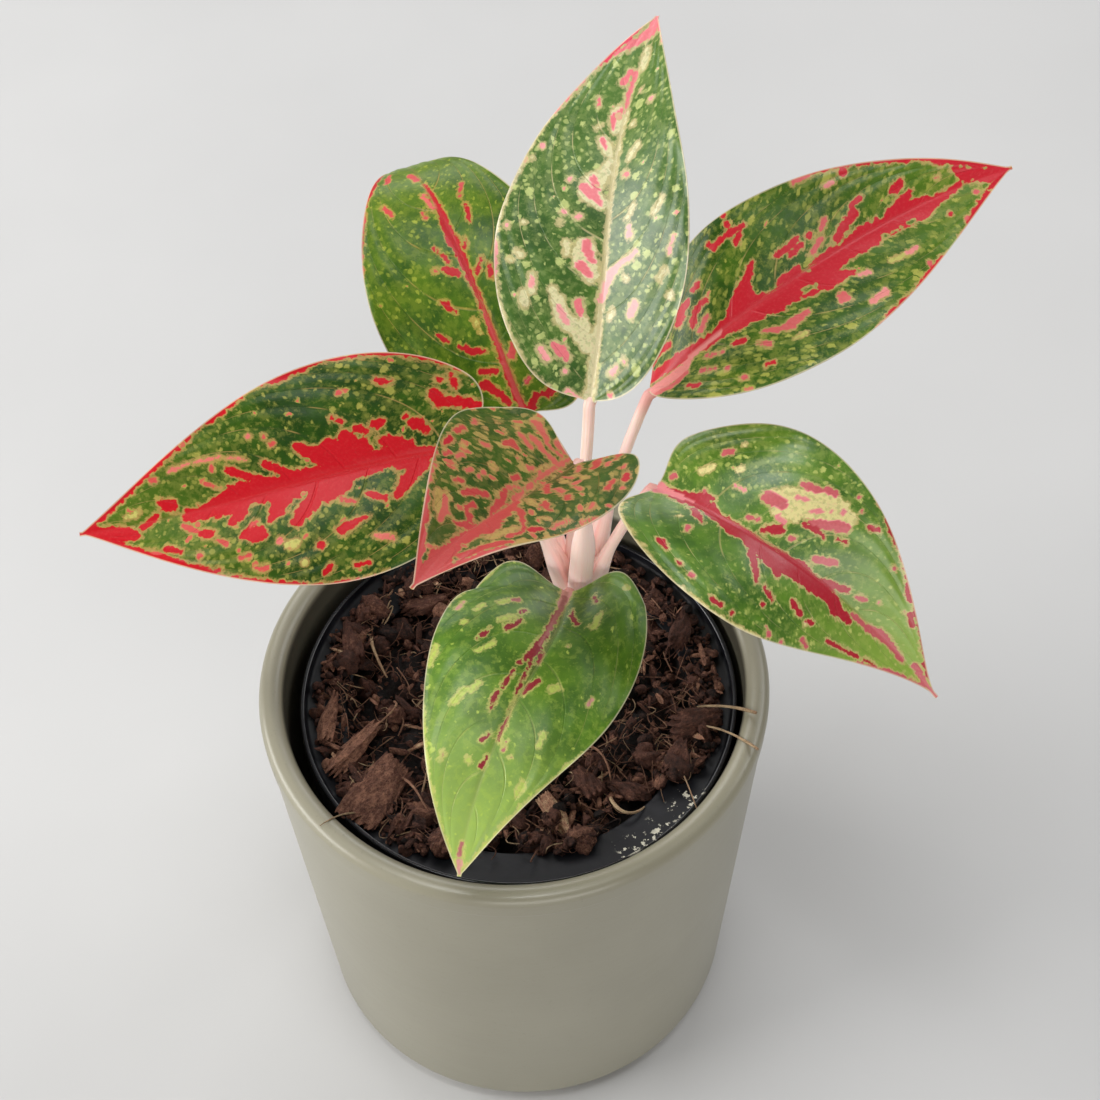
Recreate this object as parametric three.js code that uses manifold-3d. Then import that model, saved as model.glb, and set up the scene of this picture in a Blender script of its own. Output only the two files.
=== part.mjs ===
// Potted Chinese evergreen: a seven-leaved plant in a plastic nursery pot, standing in a glazed
// outer pot. Millimetres, +Z up, origin on the underside of the outer pot, on its axis.
import * as THREE from "three";
import { mergeVertices } from "three/addons/utils/BufferGeometryUtils.js";
import Module from "manifold-3d";

const wasm = await Module();
wasm.setup();

// ---- Driving dimensions ----

const GAP = 0.3; // running clearance between pieces that rest on or in each other

const CACHEPOT = {
  height: 135,
  rimRadius: 68.5,
  rimInnerRadius: 61.8,
  rimRound: 2.4,
  rimInnerRound: 1,
  shoulderRadius: 68.2, // the wall just under the thin step line below the rim
  stepDepth: 0.4,
  stepHeight: 127,
  baseRadius: 60.4,
  baseRound: 8,
  floor: 9,
  floorRadius: 51,
  floorRound: 3,
  insideTaper: 1, // how much the inside narrows from the rim to half its height
  segments: 56,
};

const NURSERY = {
  shift: 1, // how far its axis stands to the right of the outer pot's
  lipRadius: 59,
  lipTop: 127,
  lipHeight: 9, // depth of the rolled skirt outside the lip
  lipWidth: 1.2,
  lipRound: 0.5,
  lipDraft: 0.3, // how much the lip widens downwards inside
  collarTop: 124,
  collarBottom: 121,
  collarRadius: 53.6, // inner edge of the sloping collar, where the soil starts
  baseRadius: 43,
  wall: 1.2,
  segments: 40,
  drainCount: 6,
  drainRadius: 3.5,
  drainCircle: 28,
  drainSides: 8,
};

const SOIL = {
  level: 119.5, // height of the surface between its chips
  swell: 1.3,
  crown: 1.5, // how much higher the middle lies than the edge
  rings: 7,
  segments: 32,
  chips: 44,
  chipInset: 6, // how far the scattered chips stay from the edge
  chipWidth: [1.4, 2.9], // half width of a scattered chip, least and most
  chipStretch: [1.3, 2.2], // its half length for each half width
  chipFlatness: 0.8, // its half height for each half width
  chipEnd: 0.62, // width of a chip's narrow end for a width of 1 at its other end
  chipRise: 0.25, // how much of its half height a chip's middle lies above the surface
  chipRoll: 50, // the most that a scattered chip rolls, in degrees
  fibres: 10,
  fibreReach: [18, 44], // where the short fibres start, from the axis
  fibreSpan: [7, 13],
  fibreDepth: 3, // how deep their ends lie
  fibreArch: [9, 13], // how high they arch above their ends
  fibreRadius: 0.5,
  fibreSides: 4,
  fibreSteps: 6,
  seed: 11,
};

// Chips that stand out of the soil: place, half sizes, and turns about Z and about their long side.
const LARGE_CHIPS = [
  { at: [-47, -5], half: [7.5, 3.2, 2.6], yaw: 70, roll: 20 },
  { at: [-42, -15], half: [8, 4, 3], yaw: 55, roll: -15 },
  { at: [-36, -27], half: [9.5, 5, 3.6], yaw: 30, roll: 25 },
  { at: [-45, 20], half: [6, 3, 2.5], yaw: 100, roll: 10 },
  { at: [-25, 34], half: [6, 3, 2.4], yaw: 20, roll: -20 },
  { at: [46, 14], half: [7, 3.5, 2.6], yaw: 80, roll: 15 },
  { at: [38, -8], half: [6, 3.4, 2.6], yaw: 35, roll: -10 },
  { at: [25, -22], half: [6.5, 3.2, 2.4], yaw: 120, roll: 12 },
  { at: [9, -37], half: [7, 3.6, 2.2], yaw: 160, roll: 18 },
  { at: [-20, -40], half: [6, 3.2, 2.6], yaw: 10, roll: -12 },
];

// Room kept free of anything loose: how far it goes down below the collar and out past the lip.
const KEEP_OUT = { depth: 8, margin: 12 };

// Loose fibres that reach over the lip, from inside the soil to their free end.
const LONG_FIBRES = [
  [[42, -1, 117], [52, -4, 134], [61, -9, 140], [67, -13, 137]],
  [[42, -6, 117], [52, -10, 135], [60, -17, 140], [66, -25, 137]],
  [[34, -23, 117], [40, -29, 133], [46, -37, 139], [49, -44, 138]],
  [[-30, -31, 117], [-37, -37, 134], [-44, -43, 140], [-49, -48, 137]],
];

const STEM = {
  base: [16, 5, 108],
  top: [17, 1, 168],
  baseRadius: 4.2,
  topRadius: 3.3,
  scarHeight: 0.35, // how far each ring-shaped leaf scar stands out
  scars: 5,
  steps: 15,
  sides: 10,
};

const PETIOLE = {
  sheathRadius: 3,
  stalkRadius: 1.45,
  sheathEnd: 0.42, // share of the length where the sheath starts to narrow
  stalkStart: 0.66, // share of the length where only the round stalk is left
  steps: 14,
  sides: 8,
};

const BLADE = {
  thickness: 0.75,
  ridge: 1.5, // extra depth of the midrib underneath, at the stalk
  ridgeWidth: 2,
  neck: 1.6, // half width where the blade meets its stalk
  tip: 0.5, // half width at the blunt end of the tip
  lobeReach: 0.45, // share of the length over which the basal lobes sweep back
  lobeWidth: 0.7, // share of the half width at which a lobe is fully swept
  foldSoftness: 1.4, // rounds the valley of the fold along the midrib
  rows: 18,
  cells: 4, // cells from the midrib to each margin
  crowding: 1.35, // crowds the rows towards the stalk
};

// One entry for each leaf, youngest and innermost first.
// midrib: junction with the stalk, two control points of its curve, tip.
// faceBase, faceTip: which way the upper side looks at each end.
// left, right: half width of each side, where it is reached as a share of the length (widest), and
// how fast the width falls away from there (taper). lobe: how far the basal lobes sweep back.
// liftLeft, liftRight: rise of each half per millimetre away from the midrib.
// droop: how far the margins curl down again.
// stalk: height where it leaves the cane, then the two control points of its curve.
const LEAVES = {
  centre: {
    midrib: [[17, -19, 246], [4, -39, 256], [-6, -50, 267], [-17, -74, 274]],
    faceBase: [-0.28, -0.3, 0.91],
    faceTip: [0, -0.45, 0.89],
    left: { half: 18.9, widest: 0.25, taper: 1.5 },
    right: { half: 22.9, widest: 0.226, taper: 1.52 },
    lobe: 8,
    liftLeft: 0.54, liftRight: 0.58, droop: 4.6,
    stalk: [160, [18.5, -4.5, 190], [21, -10, 225]],
  },
  lower_right: {
    midrib: [[37, 6, 206], [62, -17, 214], [80, -16, 195], [106, -30, 164]],
    faceBase: [0.26, -0.29, 0.92],
    faceTip: [-0.05, -0.66, 0.75],
    left: { half: 27.7, widest: 0.345, taper: 2 },
    right: { half: 22.5, widest: 0.345, taper: 2 },
    lobe: 12,
    liftLeft: 0.37, liftRight: 0.38, droop: 4.9,
    stalk: [152, [20, -2, 178], [27, 4, 192]],
  },
  left: {
    midrib: [[-6, 12, 216], [-38, 5, 221], [-67, -4, 213], [-102, -6, 209]],
    faceBase: [0, -0.6, 0.8],
    faceTip: [0, -0.5, 0.86],
    left: { half: 26.3, widest: 0.365, taper: 1.9 },
    right: { half: 27.1, widest: 0.327, taper: 1.5 },
    lobe: 8,
    liftLeft: 0.25, liftRight: 0.24, droop: 4.9,
    stalk: [148, [17, -3.5, 182], [6, 8, 202]],
  },
  top: {
    midrib: [[21, 8, 236], [28, 29, 264], [23, 40, 277], [40, 85, 286]],
    faceBase: [-0.35, -0.6, 0.72],
    faceTip: [-0.54, -0.51, 0.67],
    left: { half: 26.8, widest: 0.39, taper: 1.42 },
    right: { half: 22.2, widest: 0.416, taper: 1.62 },
    lobe: 4,
    liftLeft: 0.28, liftRight: 0.33, droop: 2.7,
    stalk: [156, [17, 5, 188], [20, 2, 214]],
  },
  upper_right: {
    midrib: [[36, 24, 222], [58, 24, 249], [91, 47, 257], [123, 54, 263]],
    faceBase: [0.11, 0.13, 0.99],
    faceTip: [0.01, -0.66, 0.75],
    left: { half: 23.7, widest: 0.34, taper: 1.63 },
    right: { half: 23.3, widest: 0.4, taper: 1.8 },
    lobe: 0,
    liftLeft: 0.23, liftRight: 0.28, droop: 2.7,
    stalk: [150, [21, 3, 184], [28, 17, 203]],
  },
  back_left: {
    midrib: [[6, 24, 214], [-1, 40, 230], [-22, 83, 260], [-25, 94, 228]],
    faceBase: [-0.25, -0.53, 0.81],
    faceTip: [-0.11, 0.6, 0.8],
    left: { half: 27.2, widest: 0.344, taper: 1.9 },
    right: { half: 22, widest: 0.33, taper: 1.41 },
    lobe: 7,
    liftLeft: -0.05, liftRight: 0.12, droop: 3.2,
    stalk: [144, [14, 6, 180], [9, 16, 198]],
  },
  front: {
    midrib: [[15, -10, 186], [13, -32, 192], [-8, -50, 189], [-13, -78, 166]],
    faceBase: [0.06, -0.27, 0.96],
    faceTip: [-0.02, -0.49, 0.87],
    left: { half: 22.7, widest: 0.34, taper: 1.35 },
    right: { half: 26.7, widest: 0.323, taper: 1.5 },
    lobe: 21,
    liftLeft: 0.17, liftRight: 0.1, droop: 6.9,
    stalk: [132, [19, -6, 158], [16, -5, 174]],
  },
};

const STALK_DROP = 1.6; // how far a stalk's axis lies under the upper face of its blade
const STALK_SETBACK = 3; // how many clearances a stalk ends short of its blade

// ---- Finishes ----

const FINISH = {
  glaze: new THREE.MeshStandardMaterial({ color: 0x8a8672, roughness: 0.45 }),
  blackPlastic: new THREE.MeshStandardMaterial({ color: 0x1c1e24, roughness: 0.4 }),
  soil: new THREE.MeshStandardMaterial({ color: 0x3b2820, roughness: 0.95 }),
  cane: new THREE.MeshStandardMaterial({ color: 0x9a8f5e, roughness: 0.6 }),
  stalk: new THREE.MeshStandardMaterial({ color: 0xe6bfa8, roughness: 0.5 }),
  blade: new THREE.MeshStandardMaterial({ color: 0x4c7a2e, roughness: 0.35 }),
};

// ---- Joining and cutting ----

function toSolid(geometry) {
  const plain = new THREE.BufferGeometry();
  plain.setAttribute("position", geometry.getAttribute("position"));
  plain.setIndex(geometry.index);
  const merged = mergeVertices(plain, 1e-3);
  return new wasm.Manifold(new wasm.Mesh({
    numProp: 3,
    vertProperties: merged.attributes.position.array,
    triVerts: new Uint32Array(merged.index.array),
  }));
}

function toGeometry(solid) {
  const { vertProperties, triVerts } = solid.getMesh();
  const geometry = new THREE.BufferGeometry();
  geometry.setAttribute("position", new THREE.BufferAttribute(vertProperties, 3));
  geometry.setIndex(new THREE.BufferAttribute(triVerts, 1));
  return geometry;
}

// The largest body of a cut solid: loose scraps are dropped.
function largestBody(solid) {
  const bodies = solid.decompose();
  return bodies.reduce((a, b) => (b.volume() > a.volume() ? b : a));
}

function indexed(positions, indices) {
  const geometry = new THREE.BufferGeometry();
  geometry.setAttribute("position", new THREE.Float32BufferAttribute(positions, 3));
  geometry.setIndex(indices);
  return geometry;
}

// ---- Turned pieces ----

// A closed solid of revolution about Z, from [radius, height] points that start and end on the axis.
function turned(points, segments) {
  const profile = points.map(([radius, height]) => new THREE.Vector2(radius, height));
  return new THREE.LatheGeometry(profile, segments).rotateX(Math.PI / 2);
}

// Points of a rounded corner about a centre, from one angle to another, in degrees.
function arc(centreRadius, centreHeight, radius, from, to, steps) {
  return Array.from({ length: steps + 1 }, (_, i) => {
    const angle = THREE.MathUtils.degToRad(from + ((to - from) * i) / steps);
    return [centreRadius + radius * Math.cos(angle), centreHeight + radius * Math.sin(angle)];
  });
}

function cachepotGeometry() {
  const c = CACHEPOT;
  const rimCentre = c.rimRadius - c.rimRound;
  return turned([
    [0, 0],
    ...arc(c.baseRadius - c.baseRound, c.baseRound, c.baseRound, -90, 0, 4),
    [c.shoulderRadius - c.stepDepth, c.stepHeight],
    [c.shoulderRadius, c.stepHeight + 2 * c.stepDepth],
    ...arc(rimCentre, c.height - c.rimRound, c.rimRound, 0, 90, 3),
    [c.rimInnerRadius + c.rimInnerRound, c.height],
    [c.rimInnerRadius, c.height - c.rimInnerRound],
    [c.rimInnerRadius - c.insideTaper, c.height / 2],
    [c.floorRadius + c.floorRound, c.floor + c.floorRound],
    [c.floorRadius, c.floor],
    [0, c.floor],
  ], c.segments);
}

// Wall radius of the nursery pot, outside, at a height: straight from its base to under its lip.
function nurseryOuterRadius(height) {
  const bottom = CACHEPOT.floor + GAP;
  const share = (height - bottom) / (NURSERY.collarBottom - bottom);
  return THREE.MathUtils.lerp(NURSERY.baseRadius, NURSERY.collarRadius + NURSERY.wall, share);
}

function nurseryPotGeometry() {
  const n = NURSERY;
  const bottom = CACHEPOT.floor + GAP;
  const skirt = n.lipTop - n.lipHeight;
  const innerLip = n.lipRadius - n.lipWidth;
  const shell = turned([
    [0, bottom],
    [n.baseRadius, bottom],
    [nurseryOuterRadius(skirt + 1), skirt + 1],
    [n.lipRadius - n.wall, skirt],
    [n.lipRadius, skirt],
    [n.lipRadius, n.lipTop - n.lipRound],
    [n.lipRadius - n.lipRound, n.lipTop],
    [innerLip, n.lipTop],
    [innerLip - n.lipDraft, n.collarTop],
    [n.collarRadius, n.collarBottom],
    [n.baseRadius - n.wall, bottom + n.wall],
    [0, bottom + n.wall],
  ], n.segments);
  return toGeometry(drainHoles(bottom).reduce((pot, hole) => pot.subtract(hole), toSolid(shell)));
}

function drainHoles(bottom) {
  return Array.from({ length: NURSERY.drainCount }, (_, i) => {
    const angle = (2 * Math.PI * i) / NURSERY.drainCount;
    const depth = 4 * NURSERY.wall;
    const hole = new THREE.CylinderGeometry(
      NURSERY.drainRadius, NURSERY.drainRadius, depth, NURSERY.drainSides,
    );
    hole.rotateX(Math.PI / 2);
    hole.translate(
      NURSERY.drainCircle * Math.cos(angle), NURSERY.drainCircle * Math.sin(angle), bottom,
    );
    return toSolid(hole);
  });
}

// ---- Tubes of changing width ----

// A closed tube along a curve. radiusAt(share) gives its radius, and the frames don't twist.
function taperedTube(curve, radiusAt, steps, sides) {
  const frames = curve.computeFrenetFrames(steps, false);
  const positions = [];
  for (let i = 0; i <= steps; i++) {
    const centre = curve.getPointAt(i / steps);
    const radius = radiusAt(i / steps);
    for (let k = 0; k < sides; k++) {
      const angle = (2 * Math.PI * k) / sides;
      const point = centre.clone()
        .addScaledVector(frames.normals[i], radius * Math.cos(angle))
        .addScaledVector(frames.binormals[i], radius * Math.sin(angle));
      positions.push(...point.toArray());
    }
  }
  return indexed(positions, [...ringWalls(steps, sides), ...ringCaps(steps, sides)]);
}

function ringWalls(steps, sides) {
  const indices = [];
  for (let i = 0; i < steps; i++) {
    for (let k = 0; k < sides; k++) {
      const a = i * sides + k;
      const b = i * sides + ((k + 1) % sides);
      indices.push(a, b, a + sides, b, b + sides, a + sides);
    }
  }
  return indices;
}

function ringCaps(steps, sides) {
  const indices = [];
  const last = steps * sides;
  for (let k = 1; k < sides - 1; k++) {
    indices.push(0, k + 1, k);
    indices.push(last, last + k, last + k + 1);
  }
  return indices;
}

// ---- Soil ----

function seededRandom(seed) {
  let state = seed;
  return () => {
    state = (state * 16807) % 2147483647;
    return state / 2147483647;
  };
}

function between([least, most], random) {
  return least + (most - least) * random();
}

function soilHeight(x, y) {
  const waves = Math.sin(0.31 * x + 1.3) * Math.cos(0.27 * y - 0.4) + 0.6 * Math.sin(0.55 * x - 0.43 * y);
  const edge = Math.hypot(x, y) / NURSERY.collarRadius;
  return SOIL.level + SOIL.crown * (1 - edge * edge) + SOIL.swell * waves * (1 - edge ** 6);
}

// The settled mass: a tapered plug with an uneven top.
function soilPlug() {
  const bottom = CACHEPOT.floor + NURSERY.wall + 2 * GAP;
  const innerRadius = (height) => nurseryOuterRadius(height) - NURSERY.wall - GAP;
  const { rings, segments } = SOIL;
  const positions = [0, 0, bottom];
  const ring = (radius, heightAt) => {
    for (let k = 0; k < segments; k++) {
      const angle = (2 * Math.PI * k) / segments;
      const x = radius * Math.cos(angle);
      const y = radius * Math.sin(angle);
      positions.push(x, y, heightAt(x, y));
    }
  };
  ring(innerRadius(bottom), () => bottom);
  for (let i = rings; i > 0; i--) {
    ring((innerRadius(SOIL.level) * i) / rings, soilHeight);
  }
  positions.push(0, 0, soilHeight(0, 0));
  const crown = 1 + (rings + 1) * segments;
  const indices = ringWalls(rings, segments).map((index) => index + 1);
  for (let k = 0; k < segments; k++) {
    const next = (k + 1) % segments;
    indices.push(0, 1 + next, 1 + k);
    indices.push(1 + rings * segments + k, 1 + rings * segments + next, crown);
  }
  return toSolid(indexed(positions, indices));
}

// A torn chip of coir or bark: a low block whose ends are narrower than its middle.
function chip([halfLength, halfWidth, halfHeight], x, y, yaw, roll) {
  const geometry = new THREE.CylinderGeometry(
    SOIL.chipEnd * halfWidth, halfWidth, 2 * halfLength, 5, 1,
  );
  geometry.scale(1, 1, halfHeight / halfWidth);
  geometry.rotateY(THREE.MathUtils.degToRad(roll));
  geometry.rotateZ(THREE.MathUtils.degToRad(yaw));
  geometry.translate(x, y, soilHeight(x, y) + SOIL.chipRise * halfHeight);
  return toSolid(geometry);
}

function scatteredChips(random) {
  const golden = Math.PI * (3 - Math.sqrt(5));
  return Array.from({ length: SOIL.chips }, (_, i) => {
    const reach = (NURSERY.collarRadius - SOIL.chipInset) * Math.sqrt((i + 0.5) / SOIL.chips);
    const angle = golden * i + 0.5 * random();
    const width = between(SOIL.chipWidth, random);
    const half = [width * between(SOIL.chipStretch, random), width, SOIL.chipFlatness * width];
    const yaw = 360 * random();
    return chip(half, reach * Math.cos(angle), reach * Math.sin(angle), yaw, SOIL.chipRoll * random());
  });
}

function fibre(points) {
  const curve = new THREE.CubicBezierCurve3(...points.map((p) => new THREE.Vector3(...p)));
  return toSolid(taperedTube(curve, () => SOIL.fibreRadius, SOIL.fibreSteps, SOIL.fibreSides));
}

// Short fibres that arch out of the soil and back in.
function scatteredFibres(random) {
  return Array.from({ length: SOIL.fibres }, () => {
    const angle = 2 * Math.PI * random();
    const reach = between(SOIL.fibreReach, random);
    const x = reach * Math.cos(angle);
    const y = reach * Math.sin(angle);
    const heading = 2 * Math.PI * random();
    const span = between(SOIL.fibreSpan, random);
    const dx = span * Math.cos(heading);
    const dy = span * Math.sin(heading);
    const low = soilHeight(x, y) - SOIL.fibreDepth;
    const high = low + between(SOIL.fibreArch, random);
    return fibre([[x, y, low], [x + 0.2 * dx, y, high], [x + dx, y + 0.6 * dy, high], [x + dx, y + dy, low]]);
  });
}

function soilGeometry() {
  const random = seededRandom(SOIL.seed);
  const large = LARGE_CHIPS.map((c) => chip(c.half, ...c.at, c.yaw, c.roll));
  const pieces = [
    ...large, ...scatteredChips(random), ...scatteredFibres(random), ...LONG_FIBRES.map(fibre),
  ];
  const rough = pieces.reduce((mass, piece) => mass.add(piece), soilPlug());
  const clear = toGeometry(rough.subtract(toSolid(nurseryKeepOut())));
  clear.translate(NURSERY.shift, 0, 0);
  return toGeometry(largestBody(toSolid(clear).subtract(stemSolid(GAP))));
}

// The room that the lip and collar take up, with their clearance, which nothing loose lies in.
function nurseryKeepOut() {
  const n = NURSERY;
  const low = n.collarBottom - KEEP_OUT.depth;
  const inner = n.collarRadius - GAP;
  return new THREE.LatheGeometry([
    [nurseryOuterRadius(low) - n.wall - GAP, low],
    [n.lipRadius + KEEP_OUT.margin, low],
    [n.lipRadius + KEEP_OUT.margin, CACHEPOT.height + GAP],
    [CACHEPOT.rimInnerRadius - n.shift - GAP, CACHEPOT.height + GAP],
    [CACHEPOT.rimInnerRadius - n.shift - 2 * GAP, n.lipTop + GAP],
    [n.lipRadius - n.lipWidth - GAP, n.lipTop + GAP],
    [n.lipRadius - n.lipWidth - 2 * GAP, n.collarTop + GAP],
    [inner, n.collarBottom + GAP],
    [nurseryOuterRadius(low) - n.wall - GAP, low],
  ].map(([radius, height]) => new THREE.Vector2(radius, height)), n.segments).rotateX(Math.PI / 2);
}

// ---- Stem ----

const STEM_LINE = new THREE.LineCurve3(new THREE.Vector3(...STEM.base), new THREE.Vector3(...STEM.top));

// The cane, grown all round by a clearance.
function stemSolid(clearance) {
  const along = STEM_LINE.v2.clone().sub(STEM_LINE.v1).normalize().multiplyScalar(clearance);
  const line = new THREE.LineCurve3(STEM_LINE.v1.clone().sub(along), STEM_LINE.v2.clone().add(along));
  const radiusAt = (share) => {
    const scar = Math.max(0, Math.cos(2 * Math.PI * STEM.scars * share)) ** 4;
    const plain = THREE.MathUtils.lerp(STEM.baseRadius, STEM.topRadius, share);
    return plain + STEM.scarHeight * scar + clearance;
  };
  return toSolid(taperedTube(line, radiusAt, STEM.steps, STEM.sides));
}

// ---- Blades ----

function smooth(x) {
  const t = THREE.MathUtils.clamp(x, 0, 1);
  return t * t * (3 - 2 * t);
}

// Half width of one side of a blade at a share of its length, before the neck and the blunt tip.
function sideWidth({ half, widest, taper }, u) {
  return half * (u / widest) ** (taper * widest) * ((1 - u) / (1 - widest)) ** (taper * (1 - widest));
}

// Point and face direction of a blade's upper side at u along it (0 to 1) and v across (-1 to 1).
function bladePoint(leaf, curve, length, u, v) {
  const side = v < 0 ? leaf.left : leaf.right;
  const lift = v < 0 ? leaf.liftLeft : leaf.liftRight;
  const least = BLADE.neck * (1 - u) ** 6 + BLADE.tip * u ** 6;
  const across = v * Math.max(sideWidth(side, u), least);
  const reach = Math.abs(across) / side.half;
  const sweep = Math.max(0, 1 - u / BLADE.lobeReach) ** 1.5 * smooth(reach / BLADE.lobeWidth);
  const q = u - (leaf.lobe * sweep) / length;
  const inside = THREE.MathUtils.clamp(q, 0, 1);
  const tangent = curve.getTangent(inside);
  const start = curve.v1.clone().sub(curve.v0).multiplyScalar(3 * Math.min(0, q));
  const face = new THREE.Vector3(...leaf.faceBase).normalize().multiplyScalar(1 - inside);
  face.addScaledVector(new THREE.Vector3(...leaf.faceTip).normalize(), inside);
  face.addScaledVector(tangent, -face.dot(tangent)).normalize();
  const sideways = tangent.clone().cross(face);
  const soft = BLADE.foldSoftness;
  const rise = lift * (Math.hypot(across, soft) - soft) - leaf.droop * reach * reach;
  const point = curve.getPoint(inside).add(start);
  point.addScaledVector(sideways, across).addScaledVector(face, rise);
  return { point, face, across };
}

function midribCurve(leaf) {
  return new THREE.CubicBezierCurve3(...leaf.midrib.map((p) => new THREE.Vector3(...p)));
}

// A blade as a thin solid with a ridge under its midrib, grown by a clearance on both faces.
function bladeGeometry(leaf, clearance) {
  const curve = midribCurve(leaf);
  const length = curve.getLength();
  const { rows, cells } = BLADE;
  const wide = 1 + (2 * clearance) / Math.min(leaf.left.half, leaf.right.half);
  const upper = [];
  const lower = [];
  for (let i = 0; i <= rows; i++) {
    const u = (i / rows) ** BLADE.crowding;
    for (let j = -cells; j <= cells; j++) {
      const { point, face, across } = bladePoint(leaf, curve, length, u, (wide * j) / cells);
      const ridge = BLADE.ridge * (1 - u) * Math.exp(-((across / BLADE.ridgeWidth) ** 2));
      const under = point.clone().addScaledVector(face, -(BLADE.thickness + ridge + clearance));
      upper.push(...point.addScaledVector(face, clearance).toArray());
      lower.push(...under.toArray());
    }
  }
  return indexed([...upper, ...lower], sheetIndices(rows, 2 * cells));
}

// Triangles of a closed sheet: an upper grid, a lower grid split alike, and the walls between.
function sheetIndices(rows, columns) {
  const width = columns + 1;
  const count = (rows + 1) * width;
  const indices = [];
  for (let i = 0; i < rows; i++) {
    for (let j = 0; j < columns; j++) {
      const a = i * width + j;
      const [b, c, d] = [a + 1, a + width, a + width + 1];
      const split = j < columns / 2 ? [[a, b, c], [b, d, c]] : [[a, b, d], [a, d, c]];
      for (const [p, q, r] of split) {
        indices.push(p, q, r, p + count, r + count, q + count);
      }
    }
  }
  const wall = (a, b) => indices.push(a, b, a + count, b, b + count, a + count);
  for (let i = 0; i < rows; i++) {
    wall(i * width, (i + 1) * width);
    wall((i + 1) * width + columns, i * width + columns);
  }
  for (let j = 0; j < columns; j++) {
    wall(j + 1, j);
    wall(rows * width + j, rows * width + j + 1);
  }
  return indices;
}

// ---- Stalks ----

function stalkCurve(leaf) {
  const midrib = midribCurve(leaf);
  const [height, ...control] = leaf.stalk;
  const share = (height - STEM.base[2]) / (STEM.top[2] - STEM.base[2]);
  const { face } = bladePoint(leaf, midrib, midrib.getLength(), 0, 0);
  const end = midrib.v0.clone().addScaledVector(face, -STALK_DROP);
  end.addScaledVector(midrib.getTangent(0), -STALK_SETBACK * GAP);
  const [first, second] = control.map((p) => new THREE.Vector3(...p));
  return new THREE.CubicBezierCurve3(STEM_LINE.getPoint(share), first, second, end);
}

function stalkSolid(leaf, clearance) {
  const radiusAt = (share) => {
    const narrowing = (share - PETIOLE.sheathEnd) / (PETIOLE.stalkStart - PETIOLE.sheathEnd);
    return THREE.MathUtils.lerp(PETIOLE.sheathRadius, PETIOLE.stalkRadius, smooth(narrowing)) + clearance;
  };
  return toSolid(taperedTube(stalkCurve(leaf), radiusAt, PETIOLE.steps, PETIOLE.sides));
}

// Each stalk wraps the cane and the stalks inside it, with a clearance, and stays clear of its blade.
function stalkGeometries() {
  const taken = [stemSolid(GAP)];
  return Object.fromEntries(Object.entries(LEAVES).map(([name, leaf]) => {
    const own = taken.reduce((solid, other) => solid.subtract(other), stalkSolid(leaf, 0));
    const cut = own.subtract(toSolid(bladeGeometry(leaf, GAP)));
    taken.push(stalkSolid(leaf, GAP));
    return [name, toGeometry(largestBody(cut))];
  }));
}

// ---- The assembly ----

function piece(name, geometry, material) {
  const mesh = new THREE.Mesh(geometry, material);
  mesh.name = name;
  return mesh;
}

function pots() {
  const group = new THREE.Group();
  group.add(piece("cachepot", cachepotGeometry(), FINISH.glaze));
  const nurseryPot = nurseryPotGeometry();
  nurseryPot.translate(NURSERY.shift, 0, 0);
  group.add(piece("nursery_pot", nurseryPot, FINISH.blackPlastic));
  group.add(piece("soil", soilGeometry(), FINISH.soil));
  return group;
}

function plant() {
  const group = new THREE.Group();
  group.add(piece("stem", toGeometry(stemSolid(0)), FINISH.cane));
  for (const [name, geometry] of Object.entries(stalkGeometries())) {
    group.add(piece(`petiole_${name}`, geometry, FINISH.stalk));
    group.add(piece(`blade_${name}`, bladeGeometry(LEAVES[name], 0), FINISH.blade));
  }
  return group;
}

const pottedEvergreen = new THREE.Group();
pottedEvergreen.add(pots(), plant());

export default pottedEvergreen;
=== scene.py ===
"""Looks of a potted Chinese evergreen: seven splashed leaves, pale stalks, coir soil and two pots."""

import logging
import math
from dataclasses import dataclass, field
from enum import Enum
from typing import Sequence

import bpy
import numpy as np
from mathutils import Matrix


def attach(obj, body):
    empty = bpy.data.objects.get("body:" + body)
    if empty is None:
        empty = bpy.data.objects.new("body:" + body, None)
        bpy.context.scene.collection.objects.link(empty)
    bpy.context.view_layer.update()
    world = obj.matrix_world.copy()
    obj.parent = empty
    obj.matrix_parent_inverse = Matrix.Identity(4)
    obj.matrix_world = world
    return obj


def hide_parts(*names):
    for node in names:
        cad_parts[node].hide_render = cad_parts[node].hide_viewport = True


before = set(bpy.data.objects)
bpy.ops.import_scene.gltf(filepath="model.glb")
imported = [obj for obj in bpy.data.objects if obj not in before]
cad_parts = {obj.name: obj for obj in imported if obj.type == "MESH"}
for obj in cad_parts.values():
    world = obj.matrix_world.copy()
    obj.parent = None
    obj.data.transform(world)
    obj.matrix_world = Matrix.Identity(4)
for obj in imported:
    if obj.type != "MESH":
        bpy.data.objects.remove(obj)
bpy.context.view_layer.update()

LOG = logging.getLogger("evergreen")
MM = 0.001
BODY = "root"

# Numbers of a Mix node's sockets when it blends colours.
MIX_FACTOR, MIX_FIRST, MIX_SECOND, MIX_RESULT = 0, 6, 7, 2

Array = np.ndarray
Colour = tuple[float, float, float, float]
Point = tuple[float, float, float]
Socket = bpy.types.NodeSocket
Material = bpy.types.Material
Piece = bpy.types.Object


class Detail(Enum):
    """How fine a repeated mesh is made."""

    COARSE = 1
    FINE = 2


# ---- Colours and numbers ----


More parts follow.
